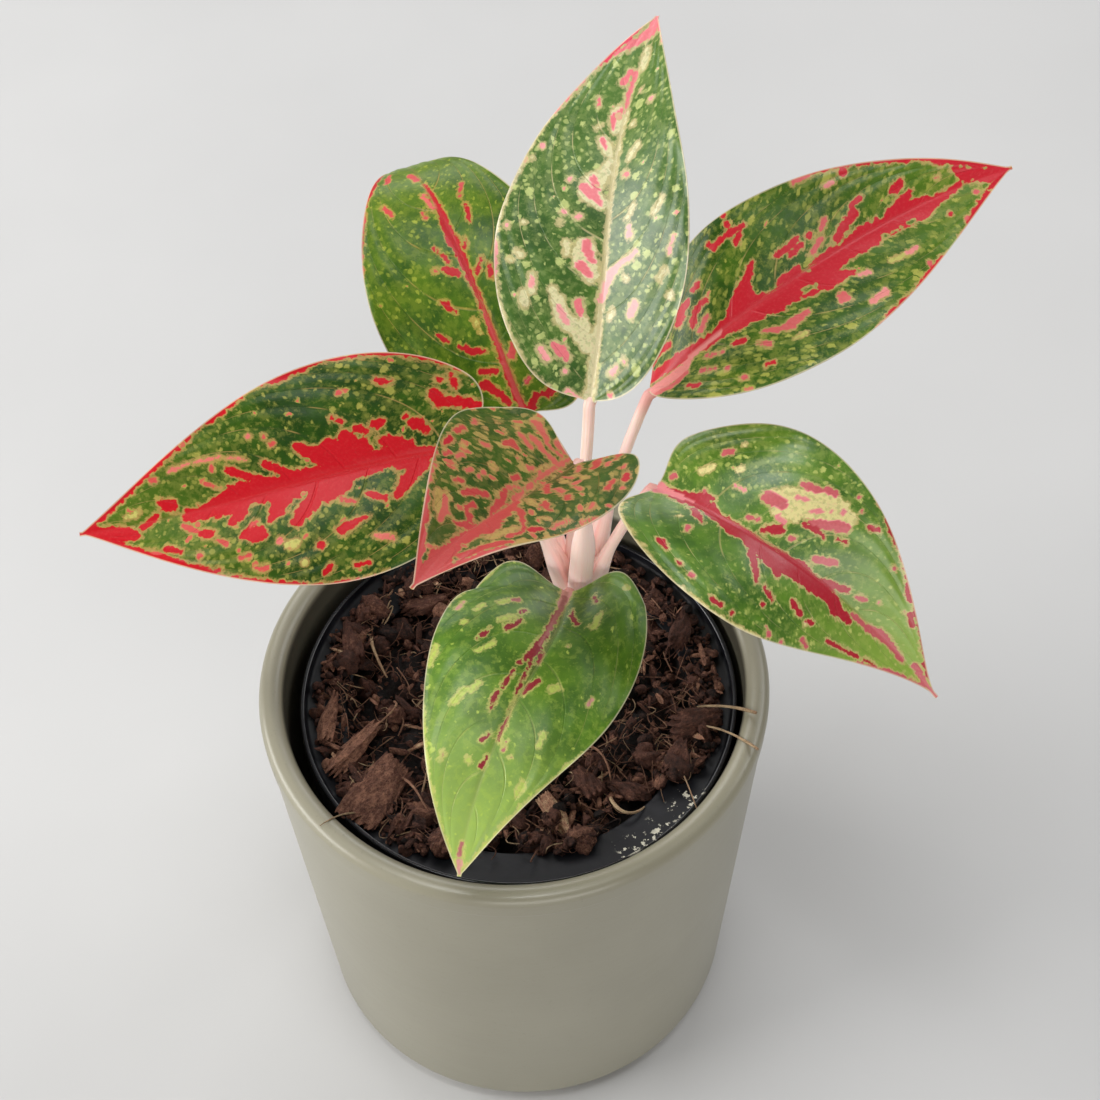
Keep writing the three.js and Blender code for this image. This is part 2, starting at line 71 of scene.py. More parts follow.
def srgb(red: int, green: int, blue: int) -> Colour:
    """Turn a display colour of 0 to 255 into the linear colour that shaders read.

    Args:
        red: Red, 0 to 255.
        green: Green, 0 to 255.
        blue: Blue, 0 to 255.

    Returns:
        Linear red, green and blue, and an opaque alpha.
    """
    parts = [c / 255 for c in (red, green, blue)]
    linear = [c / 12.92 if c <= 0.04045 else ((c + 0.055) / 1.055) ** 2.4 for c in parts]
    return (*linear, 1.0)


def smooth(x: Array) -> Array:
    """Ease from 0 to 1 with flat ends, for x from 0 to 1."""
    t = np.clip(x, 0, 1)
    return t * t * (3 - 2 * t)


def unit(vectors: Array) -> Array:
    """Scale vectors to length 1, along their last axis."""
    return vectors / np.linalg.norm(vectors, axis=-1, keepdims=True)


def lerp(start: float, end: float, share: Array) -> Array:
    """Blend from start to end by share."""
    return start + (end - start) * share


# ---- Shader graphs ----


class Value:
    """A number in a shader graph, which adds Math nodes when it is used in arithmetic."""

    def __init__(self, graph: "Graph", socket: Socket) -> None:
        """Wrap an output socket of a graph."""
        self.graph = graph
        self.socket = socket

    def _math(self, operation: str, *values: object) -> "Value":
        """Add a Math node on the given values and wrap its result."""
        inputs = dict(enumerate(values))
        return self.graph.value("ShaderNodeMath", 0, {"operation": operation}, inputs)

    def __add__(self, other: object) -> "Value":
        """Return self + other."""
        return self._math("ADD", self, other)

    def __radd__(self, other: object) -> "Value":
        """Return other + self."""
        return self._math("ADD", other, self)

    def __sub__(self, other: object) -> "Value":
        """Return self - other."""
        return self._math("SUBTRACT", self, other)

    def __rsub__(self, other: object) -> "Value":
        """Return other - self."""
        return self._math("SUBTRACT", other, self)

    def __mul__(self, other: object) -> "Value":
        """Return self * other."""
        return self._math("MULTIPLY", self, other)

    def __rmul__(self, other: object) -> "Value":
        """Return other * self."""
        return self._math("MULTIPLY", other, self)

    def __abs__(self) -> "Value":
        """Return the size of self without its sign."""
        return self._math("ABSOLUTE", self)

    def smaller(self, other: object) -> "Value":
        """Return the smaller of self and other."""
        return self._math("MINIMUM", self, other)

    def fraction(self) -> "Value":
        """Return what is left of self above the whole number below it."""
        return self._math("FRACT", self)

    def step(self, start: float, end: float) -> "Value":
        """Ease from 0 where self is start to 1 where self is end."""
        settings = {"interpolation_type": "SMOOTHSTEP"}
        inputs = {"Value": self, "From Min": start, "From Max": end}
        return self.graph.value("ShaderNodeMapRange", 0, settings, inputs)


class Graph:
    """The node graph of one material."""

    def __init__(self, name: str) -> None:
        """Start an empty graph for a new material.

        Args:
            name: The material's name.
        """
        self.material = bpy.data.materials.new(name)
        self.material.use_nodes = True
        self.tree = self.material.node_tree
        self.tree.nodes.clear()

    def node(self, kind: str, settings: dict | None = None, inputs: dict | None = None) -> bpy.types.Node:
        """Add a node.

        Args:
            kind: The node's type name.
            settings: Its own options, set first. "stops" fills a colour ramp.
            inputs: Values or links for its sockets, by name or number.

        Returns:
            The new node.
        """
        node = self.tree.nodes.new(kind)
        for name, value in (settings or {}).items():
            if name == "stops":
                self._fill_ramp(node.color_ramp, value)
            else:
                setattr(node, name, value)
        for key, value in (inputs or {}).items():
            if isinstance(value, Value):
                value = value.socket
            if isinstance(value, Socket):
                self.tree.links.new(value, node.inputs[key])
            else:
                node.inputs[key].default_value = value
        return node

    def _fill_ramp(self, ramp: bpy.types.ColorRamp, stops: Sequence[tuple[float, Colour]]) -> None:
        """Give a colour ramp its stops.

        Args:
            ramp: The ramp.
            stops: Position and colour of each.
        """
        while len(ramp.elements) < len(stops):
            ramp.elements.new(0.5)
        for element, (position, colour) in zip(ramp.elements, stops):
            element.position = position
            element.color = colour

    def value(self, kind: str, output: int | str, settings: dict | None = None,
              inputs: dict | None = None) -> Value:
        """Add a node and wrap one of its outputs as a number."""
        return Value(self, self.node(kind, settings, inputs).outputs[output])

    def number(self, name: str) -> Value:
        """Read a number that the mesh keeps at each vertex."""
        return self.value("ShaderNodeAttribute", "Fac", {"attribute_name": name})

    def places(self, name: str = "") -> Socket:
        """Read a vector that the mesh keeps at each vertex, or the place in the object's frame."""
        if name:
            return self.node("ShaderNodeAttribute", {"attribute_name": name}).outputs["Vector"]
        return self.node("ShaderNodeTexCoord").outputs["Object"]

    def scaled(self, vector: Socket, scale: Sequence[float]) -> Socket:
        """Multiply a vector by a scale for each axis."""
        inputs = {0: vector, 1: tuple(scale)}
        return self.node("ShaderNodeVectorMath", {"operation": "MULTIPLY"}, inputs).outputs[0]

    def shifted(self, vector: Socket, offset: object) -> Socket:
        """Add an offset to a vector."""
        return self.node("ShaderNodeVectorMath", {"operation": "ADD"}, {0: vector, 1: offset}).outputs[0]

    def noise(self, vector: Socket, scale: float = 1.0, detail: float = 2.0,
              roughness: float = 0.5) -> Value:
        """Add a cloud pattern of about 0.5, without a preferred direction in its own space."""
        inputs = {"Vector": vector, "Scale": scale, "Detail": detail, "Roughness": roughness}
        return self.value("ShaderNodeTexNoise", "Fac", None, inputs)

    def warped(self, vector: Socket, scale: float, amount: float) -> Socket:
        """Bend a vector about by a cloud pattern, so that what reads it gets ragged edges.

        Args:
            vector: The vector.
            scale: Scale of the pattern.
            amount: How far it bends.

        Returns:
            The bent vector.
        """
        cloud = self.node("ShaderNodeTexNoise", None, {"Vector": vector, "Scale": scale, "Detail": 2.0})
        centred = self.shifted(cloud.outputs["Color"], (-0.5, -0.5, -0.5))
        return self.shifted(vector, self.scaled(centred, (amount, amount, amount)))

    def mix(self, factor: object, first: object, second: object) -> Socket:
        """Blend two colours by a factor.

        Args:
            factor: Share of the second.
            first: A colour.
            second: Another.

        Returns:
            The colour.
        """
        inputs = {MIX_FACTOR: factor, MIX_FIRST: first, MIX_SECOND: second}
        return self.node("ShaderNodeMix", {"data_type": "RGBA"}, inputs).outputs[MIX_RESULT]

    def bump(self, height: Value, distance: float, strength: float = 1.0) -> Socket:
        """Turn a height into a surface direction.

        Args:
            height: The height, in units of distance.
            distance: Metres of relief for a height of 1.
            strength: How strongly it shows.

        Returns:
            The socket for a shader's Normal.
        """
        inputs = {"Height": height, "Distance": distance, "Strength": strength}
        return self.node("ShaderNodeBump", None, inputs).outputs[0]

    def finish(self, inputs: dict) -> Material:
        """Close the graph with one Principled shader.

        Args:
            inputs: Values or links for the shader's sockets.

        Returns:
            The finished material.
        """
        shader = self.node("ShaderNodeBsdfPrincipled", None, inputs)
        self.node("ShaderNodeOutputMaterial", None, {"Surface": shader.outputs[0]})
        return self.material


# ---- Mesh helpers ----


def deselect_all() -> None:
    """Leave object mode with nothing selected."""
    if bpy.context.object and bpy.context.object.mode != "OBJECT":
        bpy.ops.object.mode_set(mode="OBJECT")
    bpy.ops.object.select_all(action="DESELECT")


def named(name: str) -> Piece:
    """Name the object that an operator has just added.

    Args:
        name: Its name.

    Returns:
        The object.
    """
    piece = bpy.context.object
    piece.name = name
    piece.data.name = name
    return piece


def vertex_places(piece: Piece) -> Array:
    """Read the places of a piece's vertices."""
    places = np.empty(len(piece.data.vertices) * 3, np.float32)
    piece.data.vertices.foreach_get("co", places)
    return places.reshape(-1, 3).astype(float)


def move_vertices(piece: Piece, places: Array) -> None:
    """Put a piece's vertices at new places."""
    piece.data.vertices.foreach_set("co", places.astype(np.float32).ravel())
    piece.data.update()


def keep_numbers(piece: Piece, name: str, values: Array) -> None:
    """Keep a number or a vector at each vertex, for the material to read."""
    kind = "FLOAT_VECTOR" if values.ndim == 2 else "FLOAT"
    layer = piece.data.attributes.new(name, kind, "POINT")
    layer.data.foreach_set("vector" if values.ndim == 2 else "value", values.astype(np.float32).ravel())


def grid(name: str, rows: int, columns: int) -> tuple[Piece, Array, Array]:
    """Add a square grid as the start of a piece.

    Args:
        name: The piece's name.
        rows: Faces along its first direction.
        columns: Faces along its second direction.

    Returns:
        The piece, and where each vertex lies along both directions, 0 to 1.
    """
    deselect_all()
    bpy.ops.mesh.primitive_grid_add(x_subdivisions=rows, y_subdivisions=columns, size=2)
    piece = named(name)
    places = (vertex_places(piece) + 1) / 2
    return piece, places[:, 0], places[:, 1]


def close_mesh(piece: Piece, gap: float = 1e-6) -> None:
    """Merge a seam, fill open ends and turn all faces outwards.

    Args:
        piece: The piece.
        gap: Metres within which vertices merge.
    """
    deselect_all()
    bpy.context.view_layer.objects.active = piece
    piece.select_set(True)
    bpy.ops.object.mode_set(mode="EDIT")
    bpy.ops.mesh.select_all(action="SELECT")
    bpy.ops.mesh.remove_doubles(threshold=gap)
    bpy.ops.mesh.select_all(action="DESELECT")
    bpy.ops.mesh.select_mode(type="EDGE")
    bpy.ops.mesh.select_non_manifold()
    bpy.ops.mesh.fill_holes(sides=0)
    bpy.ops.mesh.select_all(action="SELECT")
    bpy.ops.mesh.normals_make_consistent(inside=False)
    bpy.ops.object.mode_set(mode="OBJECT")


def shade_smooth(piece: Piece, degrees: float = 50) -> None:
    """Shade a piece smooth, apart from edges sharper than an angle.

    Args:
        piece: The piece.
        degrees: The angle.
    """
    deselect_all()
    bpy.context.view_layer.objects.active = piece
    piece.select_set(True)
    bpy.ops.object.shade_smooth_by_angle(angle=math.radians(degrees))


def dress(piece: Piece, materials: Sequence[Material], slot: str, *nodes: str) -> None:
    """Give a finished piece its materials, attach it to the body and hide the CAD nodes that it stands for.

    Args:
        piece: The finished piece.
        materials: Its materials, in the order of its faces' slots.
        slot: The record's material slot; not used.
        nodes: The CAD nodes that it stands for.
    """
    piece.data.materials.clear()
    for material in materials:
        piece.data.materials.append(material)
    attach(piece, BODY)
    if nodes:
        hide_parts(*nodes)
    LOG.info("%s: %d faces", piece.name, len(piece.data.polygons))


def bezier(points: Array, share: Array) -> tuple[Array, Array]:
    """Follow a cubic curve.

    Args:
        points: Its four control points.
        share: Where on it, 0 to 1.

    Returns:
        The places and the directions there, which aren't of length 1.
    """
    t = np.asarray(share, float)[..., None]
    s = 1 - t
    p0, p1, p2, p3 = np.asarray(points, float)
    place = s**3 * p0 + 3 * s * s * t * p1 + 3 * s * t * t * p2 + t**3 * p3
    direction = 3 * s * s * (p1 - p0) + 6 * s * t * (p2 - p1) + 3 * t * t * (p3 - p2)
    return place, direction


# ---- Leaves ----


class Hue(Enum):
    """Colours of the splashes, by how much white is in the red, and GREEN for a gap in them."""

    RED = 0.0
    ROSE = 0.35
    PINK = 0.65
    CREAM = 1.0
    GREEN = 2.0


MIDRIB_POINTS = 400

Stroke = tuple[Hue | float, ...]
Rim = tuple[Hue, int, float, float, float]


@dataclass(frozen=True)
class LeafTint:
    """The greens of a blade and how its small flecks look.

    Attributes:
        dark: Green between the flecks.
        light: Green of the paler clouds.
        tip: Green that the blade turns to at its tip.
        fleck: Colour of the flecks and of the rim round each splash.
        heart: Colour inside the larger flecks.
        red: Colour of the splashes.
        pink: Colour of the paler splashes.
        cream: Colour of the palest splashes.
        density: How often there is a small fleck, roughly 0 to 1.
        spots: How often there is a large one.
        hearts: How often a large one has a coloured heart.
        haze: How strongly the ground is mottled with paler green.
        stretch: How much longer flecks are along the side veins than across them.
        halo: Width of the pale rim round a splash, in millimetres.
        gloss: Specular level.
        sheen: Coat weight.
        veins: How plainly the side veins show.
        pitch: Distance between large flecks, in millimetres.
        ruddy: How red the end of the stalk is.
    """

    dark: Colour = srgb(46, 84, 14)
    light: Colour = srgb(88, 126, 26)
    tip: Colour = srgb(96, 134, 34)
    fleck: Colour = srgb(178, 190, 88)
    heart: Colour = srgb(214, 84, 84)
    red: Colour = srgb(196, 14, 30)
    pink: Colour = srgb(236, 170, 160)
    cream: Colour = srgb(196, 192, 104)
    density: float = 0.5
    spots: float = 0.35
    hearts: float = 0.5
    haze: float = 0.5
    stretch: float = 1.25
    halo: float = 0.4
    gloss: float = 0.32
    sheen: float = 0.0
    veins: float = 0.5
    pitch: float = 3.3
    ruddy: float = 0.5

    def upper(self, name: str) -> Material:
        """Build the material of the upper side.

        Args:
            name: The material's name.

        Returns:
            The material.
        """
        g = Graph(name)
        flow = g.places("flow")
        edge = g.number("edge")
        rib = g.number("rib")
        vein = self._vein_line(g)
        mottle = g.noise(flow, 0.8, 3.0, 0.6)
        fine = g.noise(flow, 1.3, 2.0) - 0.5
        ragged = g.noise(flow, 0.5, 1.0) - 0.5
        grain = g.noise(g.scaled(flow, (0.9, 2.4, 1.0)), 1.0, 3.0, 0.7)

        cloud = g.noise(flow, 0.09, 3.0, 0.6).step(0.35, 0.66)
        green = g.mix(cloud * 0.7 + mottle * 0.6 - 0.25, self.dark, self.light)
        green = g.mix(g.number("along").step(0.45, 1.0) * 0.85, green, self.tip)
        broken = g.noise(flow, 0.12, 1.0).step(0.46, 0.6)
        pale = g.mix(0.3, self.fleck, self.pink)

        bent = g.warped(flow, 0.6, 1.3)
        dots, draw, _ = self._dots(g, g.shifted(bent, (31.7, 12.9, 0.0)), self.pitch, self.spots)
        spotted = self._flecked(g, bent, green, mottle, dots, draw)

        # Splashes: a core with lobes along the veins, in millimetres inside its edge, with a pale rim.
        loose = g.number("loose")
        lobes = g.noise(g.scaled(flow, (0.15, 0.42, 1.0)), 1.0, 1.0) - 0.5
        holes = (dots * draw.step(0.86, 0.88)).step(0.0, 0.12)
        bays = lobes * (loose * 3.0 + 0.4) + ragged * (loose * 1.0 + 1.6) + fine * 1.1
        inside = g.number("splash") + bays - holes * 1.6
        core = inside.step(-0.1, 0.22)
        halo = (inside + (cloud - 0.5) * 0.3 + (grain - 0.5) * 1.4).step(-self.halo - 0.3, -self.halo * 0.3)
        rimmed = g.mix(halo * (0.35 + mottle * 0.8), spotted, pale)
        rimmed = g.mix(vein * broken * self.veins, rimmed, pale)
        stops = {"stops": self._blushes()}
        blush = g.node("ShaderNodeValToRGB", stops, {0: g.number("hue") + fine * 0.25}).outputs[0]
        blotched = g.mix((grain - 0.45) * 1.2, blush, g.mix(0.22, blush, self.dark))
        blotched = g.mix((0.4 - grain) * 1.6, blotched, g.mix(0.4, blush, self.pink))
        mixed = g.number("hue").step(0.75, 1.0) * mottle.step(0.48, 0.62) * 0.32
        blotched = g.mix(mixed, blotched, spotted)
        coloured = g.mix(core, rimmed, blotched)
        ribbed = g.mix(rib * 0.16, coloured, g.mix(0.5, blush, self.pink))
        margin = g.mix(edge.step(0.4, 0.12) * 0.65, ribbed, srgb(222, 208, 176))

        height = vein * -0.7 + mottle * 0.35 + grain * 0.2 + rib * -0.5
        return g.finish({
            "Base Color": margin,
            "Roughness": 0.3 + mottle * 0.12,
            "Specular IOR Level": self.gloss,
            "Coat Weight": self.sheen,
            "Coat Roughness": 0.3,
            "Normal": g.bump(height, 0.2 * MM, 0.7),
        })

    def _vein_line(self, g: Graph) -> Value:
        """Draw the side veins as fine lines, 1 on them and 0 elsewhere."""
        turn = g.number("turn")
        away = abs((turn + 0.5).fraction() - 0.5)
        return away.step(0.035, 0.01) * g.number("inner")

    def _dots(self, g: Graph, flow: Socket, pitch: float,
              crowd: object) -> tuple[Value, Value, Value]:
        """Scatter round dots, one at most in each cell of a loose net.

        Args:
            g: The graph.
            flow: Places on the blade, in millimetres.
            pitch: Rough distance between cells, in millimetres.
            crowd: Share of the cells that hold a dot, roughly 0 to 1.

        Returns:
            How far a place is inside a dot, in pitches, and two numbers drawn for each cell.
        """
        inputs = {"Vector": g.scaled(flow, (1 / self.stretch, 1.0, 0.0)), "Scale": 1 / pitch}
        cells = g.node("ShaderNodeTexVoronoi", {"voronoi_dimensions": "2D"}, inputs)
        draws = g.node("ShaderNodeSeparateColor", None, {0: cells.outputs["Color"]})
        size = (Value(g, draws.outputs[0]) + crowd - 1.0) * 0.8 + 0.1
        radius = size.smaller(0.44)
        inside = radius - Value(g, cells.outputs["Distance"])
        return inside, Value(g, draws.outputs[1]), Value(g, draws.outputs[2])

    def _flecked(self, g: Graph, bent: Socket, green: Socket, mottle: Value,
                 dots: Value, draw: Value) -> Socket:
        """Lay soft small flecks and crisper large ones over the green, some with a coloured heart.

        Args:
            g: The graph.
            bent: Places on the blade, in millimetres, bent about.
            green: Colour of the ground.
            mottle: A cloud pattern.
            dots: How far a place is inside a large fleck.
            draw: Number drawn for each large fleck.

        Returns:
            The colour.
        """
        crowd = g.number("crowd") * 0.3
        rough = g.noise(bent, 1.5, 2.0, 0.6) - 0.5
        small, strength, tone = self._dots(g, bent, 1.35, crowd + self.density)
        small = small + rough * 0.6
        haze = (g.noise(bent, 0.42, 4.0, 0.72) + crowd * 0.2).step(0.46, 0.62)
        yellow = g.mix(tone * 0.8, g.mix(0.3, self.fleck, self.light), self.fleck)
        colour = g.mix(haze * self.haze, green, g.mix(0.4, self.fleck, self.light))
        colour = g.mix(small.step(-0.1, 0.2) * (0.3 + strength * 0.6), colour, yellow)
        dots = dots + rough * 0.4
        chance = (dots + crowd * 0.25).step(-0.03, 0.1)
        colour = g.mix(chance * (0.4 + mottle * 0.8), colour, self.fleck)
        chosen = draw.step(1.0 - self.hearts, 1.02 - self.hearts)
        heart = (dots + crowd * 0.25).step(0.1, 0.17) * chosen
        return g.mix(heart * 0.9, colour, self.heart)

    def _blushes(self) -> list[tuple[float, Colour]]:
        """List the splash colours by hue, from red to cream."""
        between = tuple(a + (b - a) * 0.42 for a, b in zip(self.red, self.pink))
        return [(0.0, self.red), (0.35, between), (0.7, self.pink), (1.0, self.cream)]

    def under(self, name: str) -> Material:
        """Build the material of the underside: paler and duller, with the splashes showing through.

        Args:
            name: The material's name.

        Returns:
            The material.
        """
        g = Graph(name)
        flow = g.places("flow")
        broad = g.noise(g.scaled(flow, (0.42, 0.2, 1.0)), 1.0, 1.0) - 0.5
        core = (g.number("splash") + broad * 3.4).step(-0.3, 0.6)
        mottle = g.noise(g.scaled(flow, (0.5, 0.3, 1.0)), 1.0, 4.0, 0.6)
        pale = g.mix(mottle.step(0.3, 0.7), srgb(104, 132, 84), srgb(138, 160, 108))
        vein = self._vein_line(g)
        veined = g.mix(vein * 0.5, pale, srgb(176, 188, 140))
        coloured = g.mix(core * 0.55, veined, g.mix(0.4, self.red, self.pink))
        ribbed = g.mix(g.number("rib") * 0.8, coloured, srgb(226, 176, 156))
        height = mottle * 0.4 + vein * 0.8
        return g.finish({
            "Base Color": ribbed,
            "Roughness": 0.5 + mottle * 0.15,
            "Specular IOR Level": 0.4,
            "Normal": g.bump(height, 0.25 * MM, 0.6),
        })


@dataclass(frozen=True)
class Outline:
    """The outline of one half of a blade.

    Attributes:
        half: Greatest half width, in millimetres.
        widest: Where it is reached, as a share of the length.
        taper: How fast the width falls away from there.
    """

    half: float
    widest: float
    taper: float

    def width(self, u: Array) -> Array:
        """Measure the half width at a share of the length.

        Args:
            u: Shares of the length.

        Returns:
            Half widths, in millimetres.
        """
        u = np.clip(u, 0, 1)
        rise = (u / self.widest) ** (self.taper * self.widest)
        fall = ((1 - u) / (1 - self.widest)) ** (self.taper * (1 - self.widest))
        return self.half * rise * fall


@dataclass(frozen=True)
class LeafShape:
    """The shape of one leaf, in millimetres.

    Attributes:
        midrib: Control points of the midrib's curve, from the stalk to the tip.
        face_base: Which way the upper side looks at the stalk.
        face_tip: Which way it looks at the tip.
        left: Outline of the left half.
        right: Outline of the right half.
        lobe: How far the basal lobes sweep back.
        lifts: Rise of each half for each millimetre away from the midrib.
        droop: How far the margins curl down again.
        stalk: Control points of the stalk's curve, from the cane to just below the blade.
    """

    midrib: tuple[Point, ...]
    face_base: Point
    face_tip: Point
    left: Outline
    right: Outline
    lobe: float
    lifts: tuple[float, float]
    droop: float
    stalk: tuple[Point, ...]


@dataclass
class Blade:
    """One leaf blade.

    Attributes:
        name: The leaf's name, as its CAD node has it.
        shape: Its shape.
        tint: Its finish.
        strokes: Its splashes: a hue, then places along and across with a radius, in tenths of a millimetre.
        rims: Coloured margins: a hue, the side (-1 or 1), start and end shares, and a width.
        crowds: Where flecks crowd (above 0) or thin out: along, across, radius, amount.
        seed: Number that sets the flecks apart from other leaves'.
    """

    name: str
    shape: LeafShape
    tint: LeafTint
    strokes: tuple[Stroke, ...] = ()
    rims: tuple[Rim, ...] = ()
    crowds: tuple[tuple[float, float, float, float], ...] = ()
    seed: int = 1
    rows: int = 170
    columns: int = 84
    neck: float = 1.6
    tip: float = 0.5
    lobe_reach: float = 0.45
    lobe_width: float = 0.7
    fold_softness: float = 1.4
    thickness: float = 0.42
    rib_depth: float = 1.5
    rib_width: float = 1.3
    groove_depth: float = 0.34
    groove_width: float = 0.8
    quilt_height: float = 0.13
    wave_height: float = 0.5
    wave_pitch: float = 4.1
    side_rib: float = 0.18
    vein_spacing: float = 13.0
    vein_start: float = 7.0
    vein_slant: float = 0.14
    vein_bend: float = 0.4
    vein_stagger: float = 0.45
    vein_lean: float = 40.0
    half_offset: float = 57.0
    leaf_offset: float = 131.0
    outside: float = -9.0
    length: float = field(init=False)

    def __post_init__(self) -> None:
        """Measure the midrib."""
        places, _ = bezier(self.shape.midrib, np.linspace(0, 1, MIDRIB_POINTS))
        self.length = float(np.linalg.norm(np.diff(places, axis=0), axis=1).sum())

    def half_width(self, u: Array, v: Array) -> Array:
        """Measure the half width at a share of the length, on the side that v is on.

        Args:
            u: Shares of the length.
            v: Places across, below 0 on the left.

        Returns:
            Half widths, in millimetres.
        """
        width = np.where(v < 0, self.shape.left.width(u), self.shape.right.width(u))
        share = np.clip(u, 0, 1)
        least = self.neck * (1 - share) ** 6 + self.tip * share**6
        return np.maximum(width, least)

    def surface(self, u: Array, v: Array) -> tuple[Array, Array]:
        """Place the upper side, in millimetres.

        Args:
            u: Shares of the length, from the stalk.
            v: Shares of the half width, below 0 on the left half.

        Returns:
            The places, and which way the upper side looks there.
        """
        s = self.shape
        side = np.where(v < 0, s.left.half, s.right.half)
        lift = np.where(v < 0, *s.lifts)
        across = v * self.half_width(u, v)
        reach = np.abs(across) / side
        sweep = np.maximum(0, 1 - u / self.lobe_reach) ** 1.5 * smooth(reach / self.lobe_width)
        q = u - s.lobe * sweep / self.length
        inside = np.clip(q, 0, 1)
        place, direction = bezier(s.midrib, inside)
        tangent = unit(direction)
        first, second = np.asarray(s.midrib[0], float), np.asarray(s.midrib[1], float)
        place = place + 3 * np.minimum(0, q)[:, None] * (second - first)
        base, tip = unit(np.asarray(s.face_base, float)), unit(np.asarray(s.face_tip, float))
        face = base * (1 - inside[:, None]) + tip * inside[:, None]
        face = unit(face - (face * tangent).sum(1, keepdims=True) * tangent)
        sideways = np.cross(tangent, face)
        soft = self.fold_softness
        rise = lift * (np.hypot(across, soft) - soft) - s.droop * reach**2
        return place + sideways * across[:, None] + face * rise[:, None], face

    def vein_turn(self, u: Array, v: Array) -> Array:
        """Count the side veins up to a place, from the stalk: a whole number lies on a vein.

        A side vein leaves the midrib at a slant and bends forward, to run along near the margin.

        Args:
            u: Shares of the length.
            v: Shares of the half width.

        Returns:
            The count.
        """
        reach = np.abs(v)
        start = u * self.length - self.length * (self.vein_slant * reach + self.vein_bend * reach**3)
        left = np.where(v < 0, self.vein_stagger, 0.0)
        return (start - self.vein_start) / self.vein_spacing + left

    def splash_field(self, x: Array, y: Array, edge: Array, u: Array) -> tuple[Array, Array, Array]:
        """Work out how far each place is inside the nearest splash.

        Args:
            x: Millimetres along.
            y: Millimetres across.
            edge: Millimetres from the margin.
            u: Shares of the length.

        Returns:
            Millimetres inside it, below 0 outside, its hue, and how ragged it may be, 0 to 1.
        """
        best = np.full(x.shape, self.outside)
        hue = np.zeros(x.shape)
        loose = np.zeros(x.shape)
        for tone, *numbers in self.strokes:
            marks = np.reshape(numbers, (-1, 3)) / 10
            ends = marks[1:] if len(marks) > 1 else marks
            for (ax, ay, ar), (bx, by, br) in zip(marks, ends):
                dx, dy = bx - ax, by - ay
                share = np.clip(((x - ax) * dx + (y - ay) * dy) / max(dx * dx + dy * dy, 1e-9), 0, 1)
                radius = lerp(ar, br, share)
                inside = radius - np.hypot(x - ax - share * dx, y - ay - share * dy)
                if tone is Hue.GREEN:
                    best = np.minimum(best, -inside)
                    continue
                over = inside > np.minimum(best, 0)
                hue = np.where(over, tone.value, hue)
                loose = np.where(over & (inside > best), np.clip((radius - 0.9) / 3, 0, 1), loose)
                best = np.maximum(best, inside)
        for tone, side, start, end, width in self.rims:
            ends = smooth((u - start) / 0.08) * smooth((end - u) / 0.05 + 0.4)
            inside = np.where(np.sign(y) == side, width * ends - edge, self.outside)
            inside = np.where(ends > 0, inside, self.outside)
            hue = np.where(inside > best, tone.value, hue)
            loose = np.where(inside > best, 0.3, loose)
            best = np.maximum(best, inside)
        return best, hue, loose

    def build(self) -> Piece:
        """Build the blade as a thin sheet with a grooved upper side and a ribbed underside.

        Returns:
            The piece.
        """
        piece, u, v = grid(f"leaf_{self.name}", self.rows, self.columns)
        u = u**1.15
        v = 1 - 2 * v
        v = np.sign(v) * np.abs(v) ** 0.9
        half = self.half_width(u, v)
        across = v * half
        nudge = 0.004
        slope = (self.half_width(u + nudge, v) - self.half_width(u - nudge, v)) / (2 * nudge * self.length)
        lean = np.hypot(1, slope)
        edge = (half - np.abs(across)) / lean
        place, face = self.surface(u, v)
        turn = self.vein_turn(u, v)
        vein = np.abs(turn - np.round(turn)) * self.vein_spacing * 0.6
        body = smooth(np.abs(across) / 3) * smooth(edge / 3)
        fade = np.sqrt(np.clip(1 - u, 0, 1))
        groove = self.groove_depth * np.exp(-((across / self.groove_width) ** 2)) * fade
        quilt = self.quilt_height * (smooth(vein / 3.6) - 0.5) * body
        outer = smooth(np.abs(v) * 2 - 1) * smooth(edge / 2 + 0.4)
        waves = self.wave_height * np.sin(u * self.length / self.wave_pitch + 1.7 * self.seed) * outer
        upper = place + face * (quilt - groove + waves)[:, None]
        rib = self.rib_depth * (1 - u) * np.exp(-((across / self.rib_width) ** 2))
        side_ribs = self.side_rib * np.exp(-((vein / 0.7) ** 2)) * body
        depth = self.thickness * (0.5 + 0.5 * smooth(edge / 1.2)) + rib + side_ribs
        lower = upper - face * (depth - groove * 0.4)[:, None]
        self._thicken(piece)
        move_vertices(piece, np.concatenate([upper, lower]) * MM)
        self._keep_fields(piece, u, v, across, edge)
        shade_smooth(piece, 60)
        return piece

    def _thicken(self, piece: Piece) -> None:
        """Give the sheet an underside, whose faces take the second material.

        Args:
            piece: The sheet.
        """
        modifier = piece.modifiers.new("thickness", "SOLIDIFY")
        modifier.thickness = 0.02
        modifier.offset = -1
        modifier.material_offset = 1
        modifier.material_offset_rim = 0
        bpy.ops.object.modifier_apply(modifier=modifier.name)

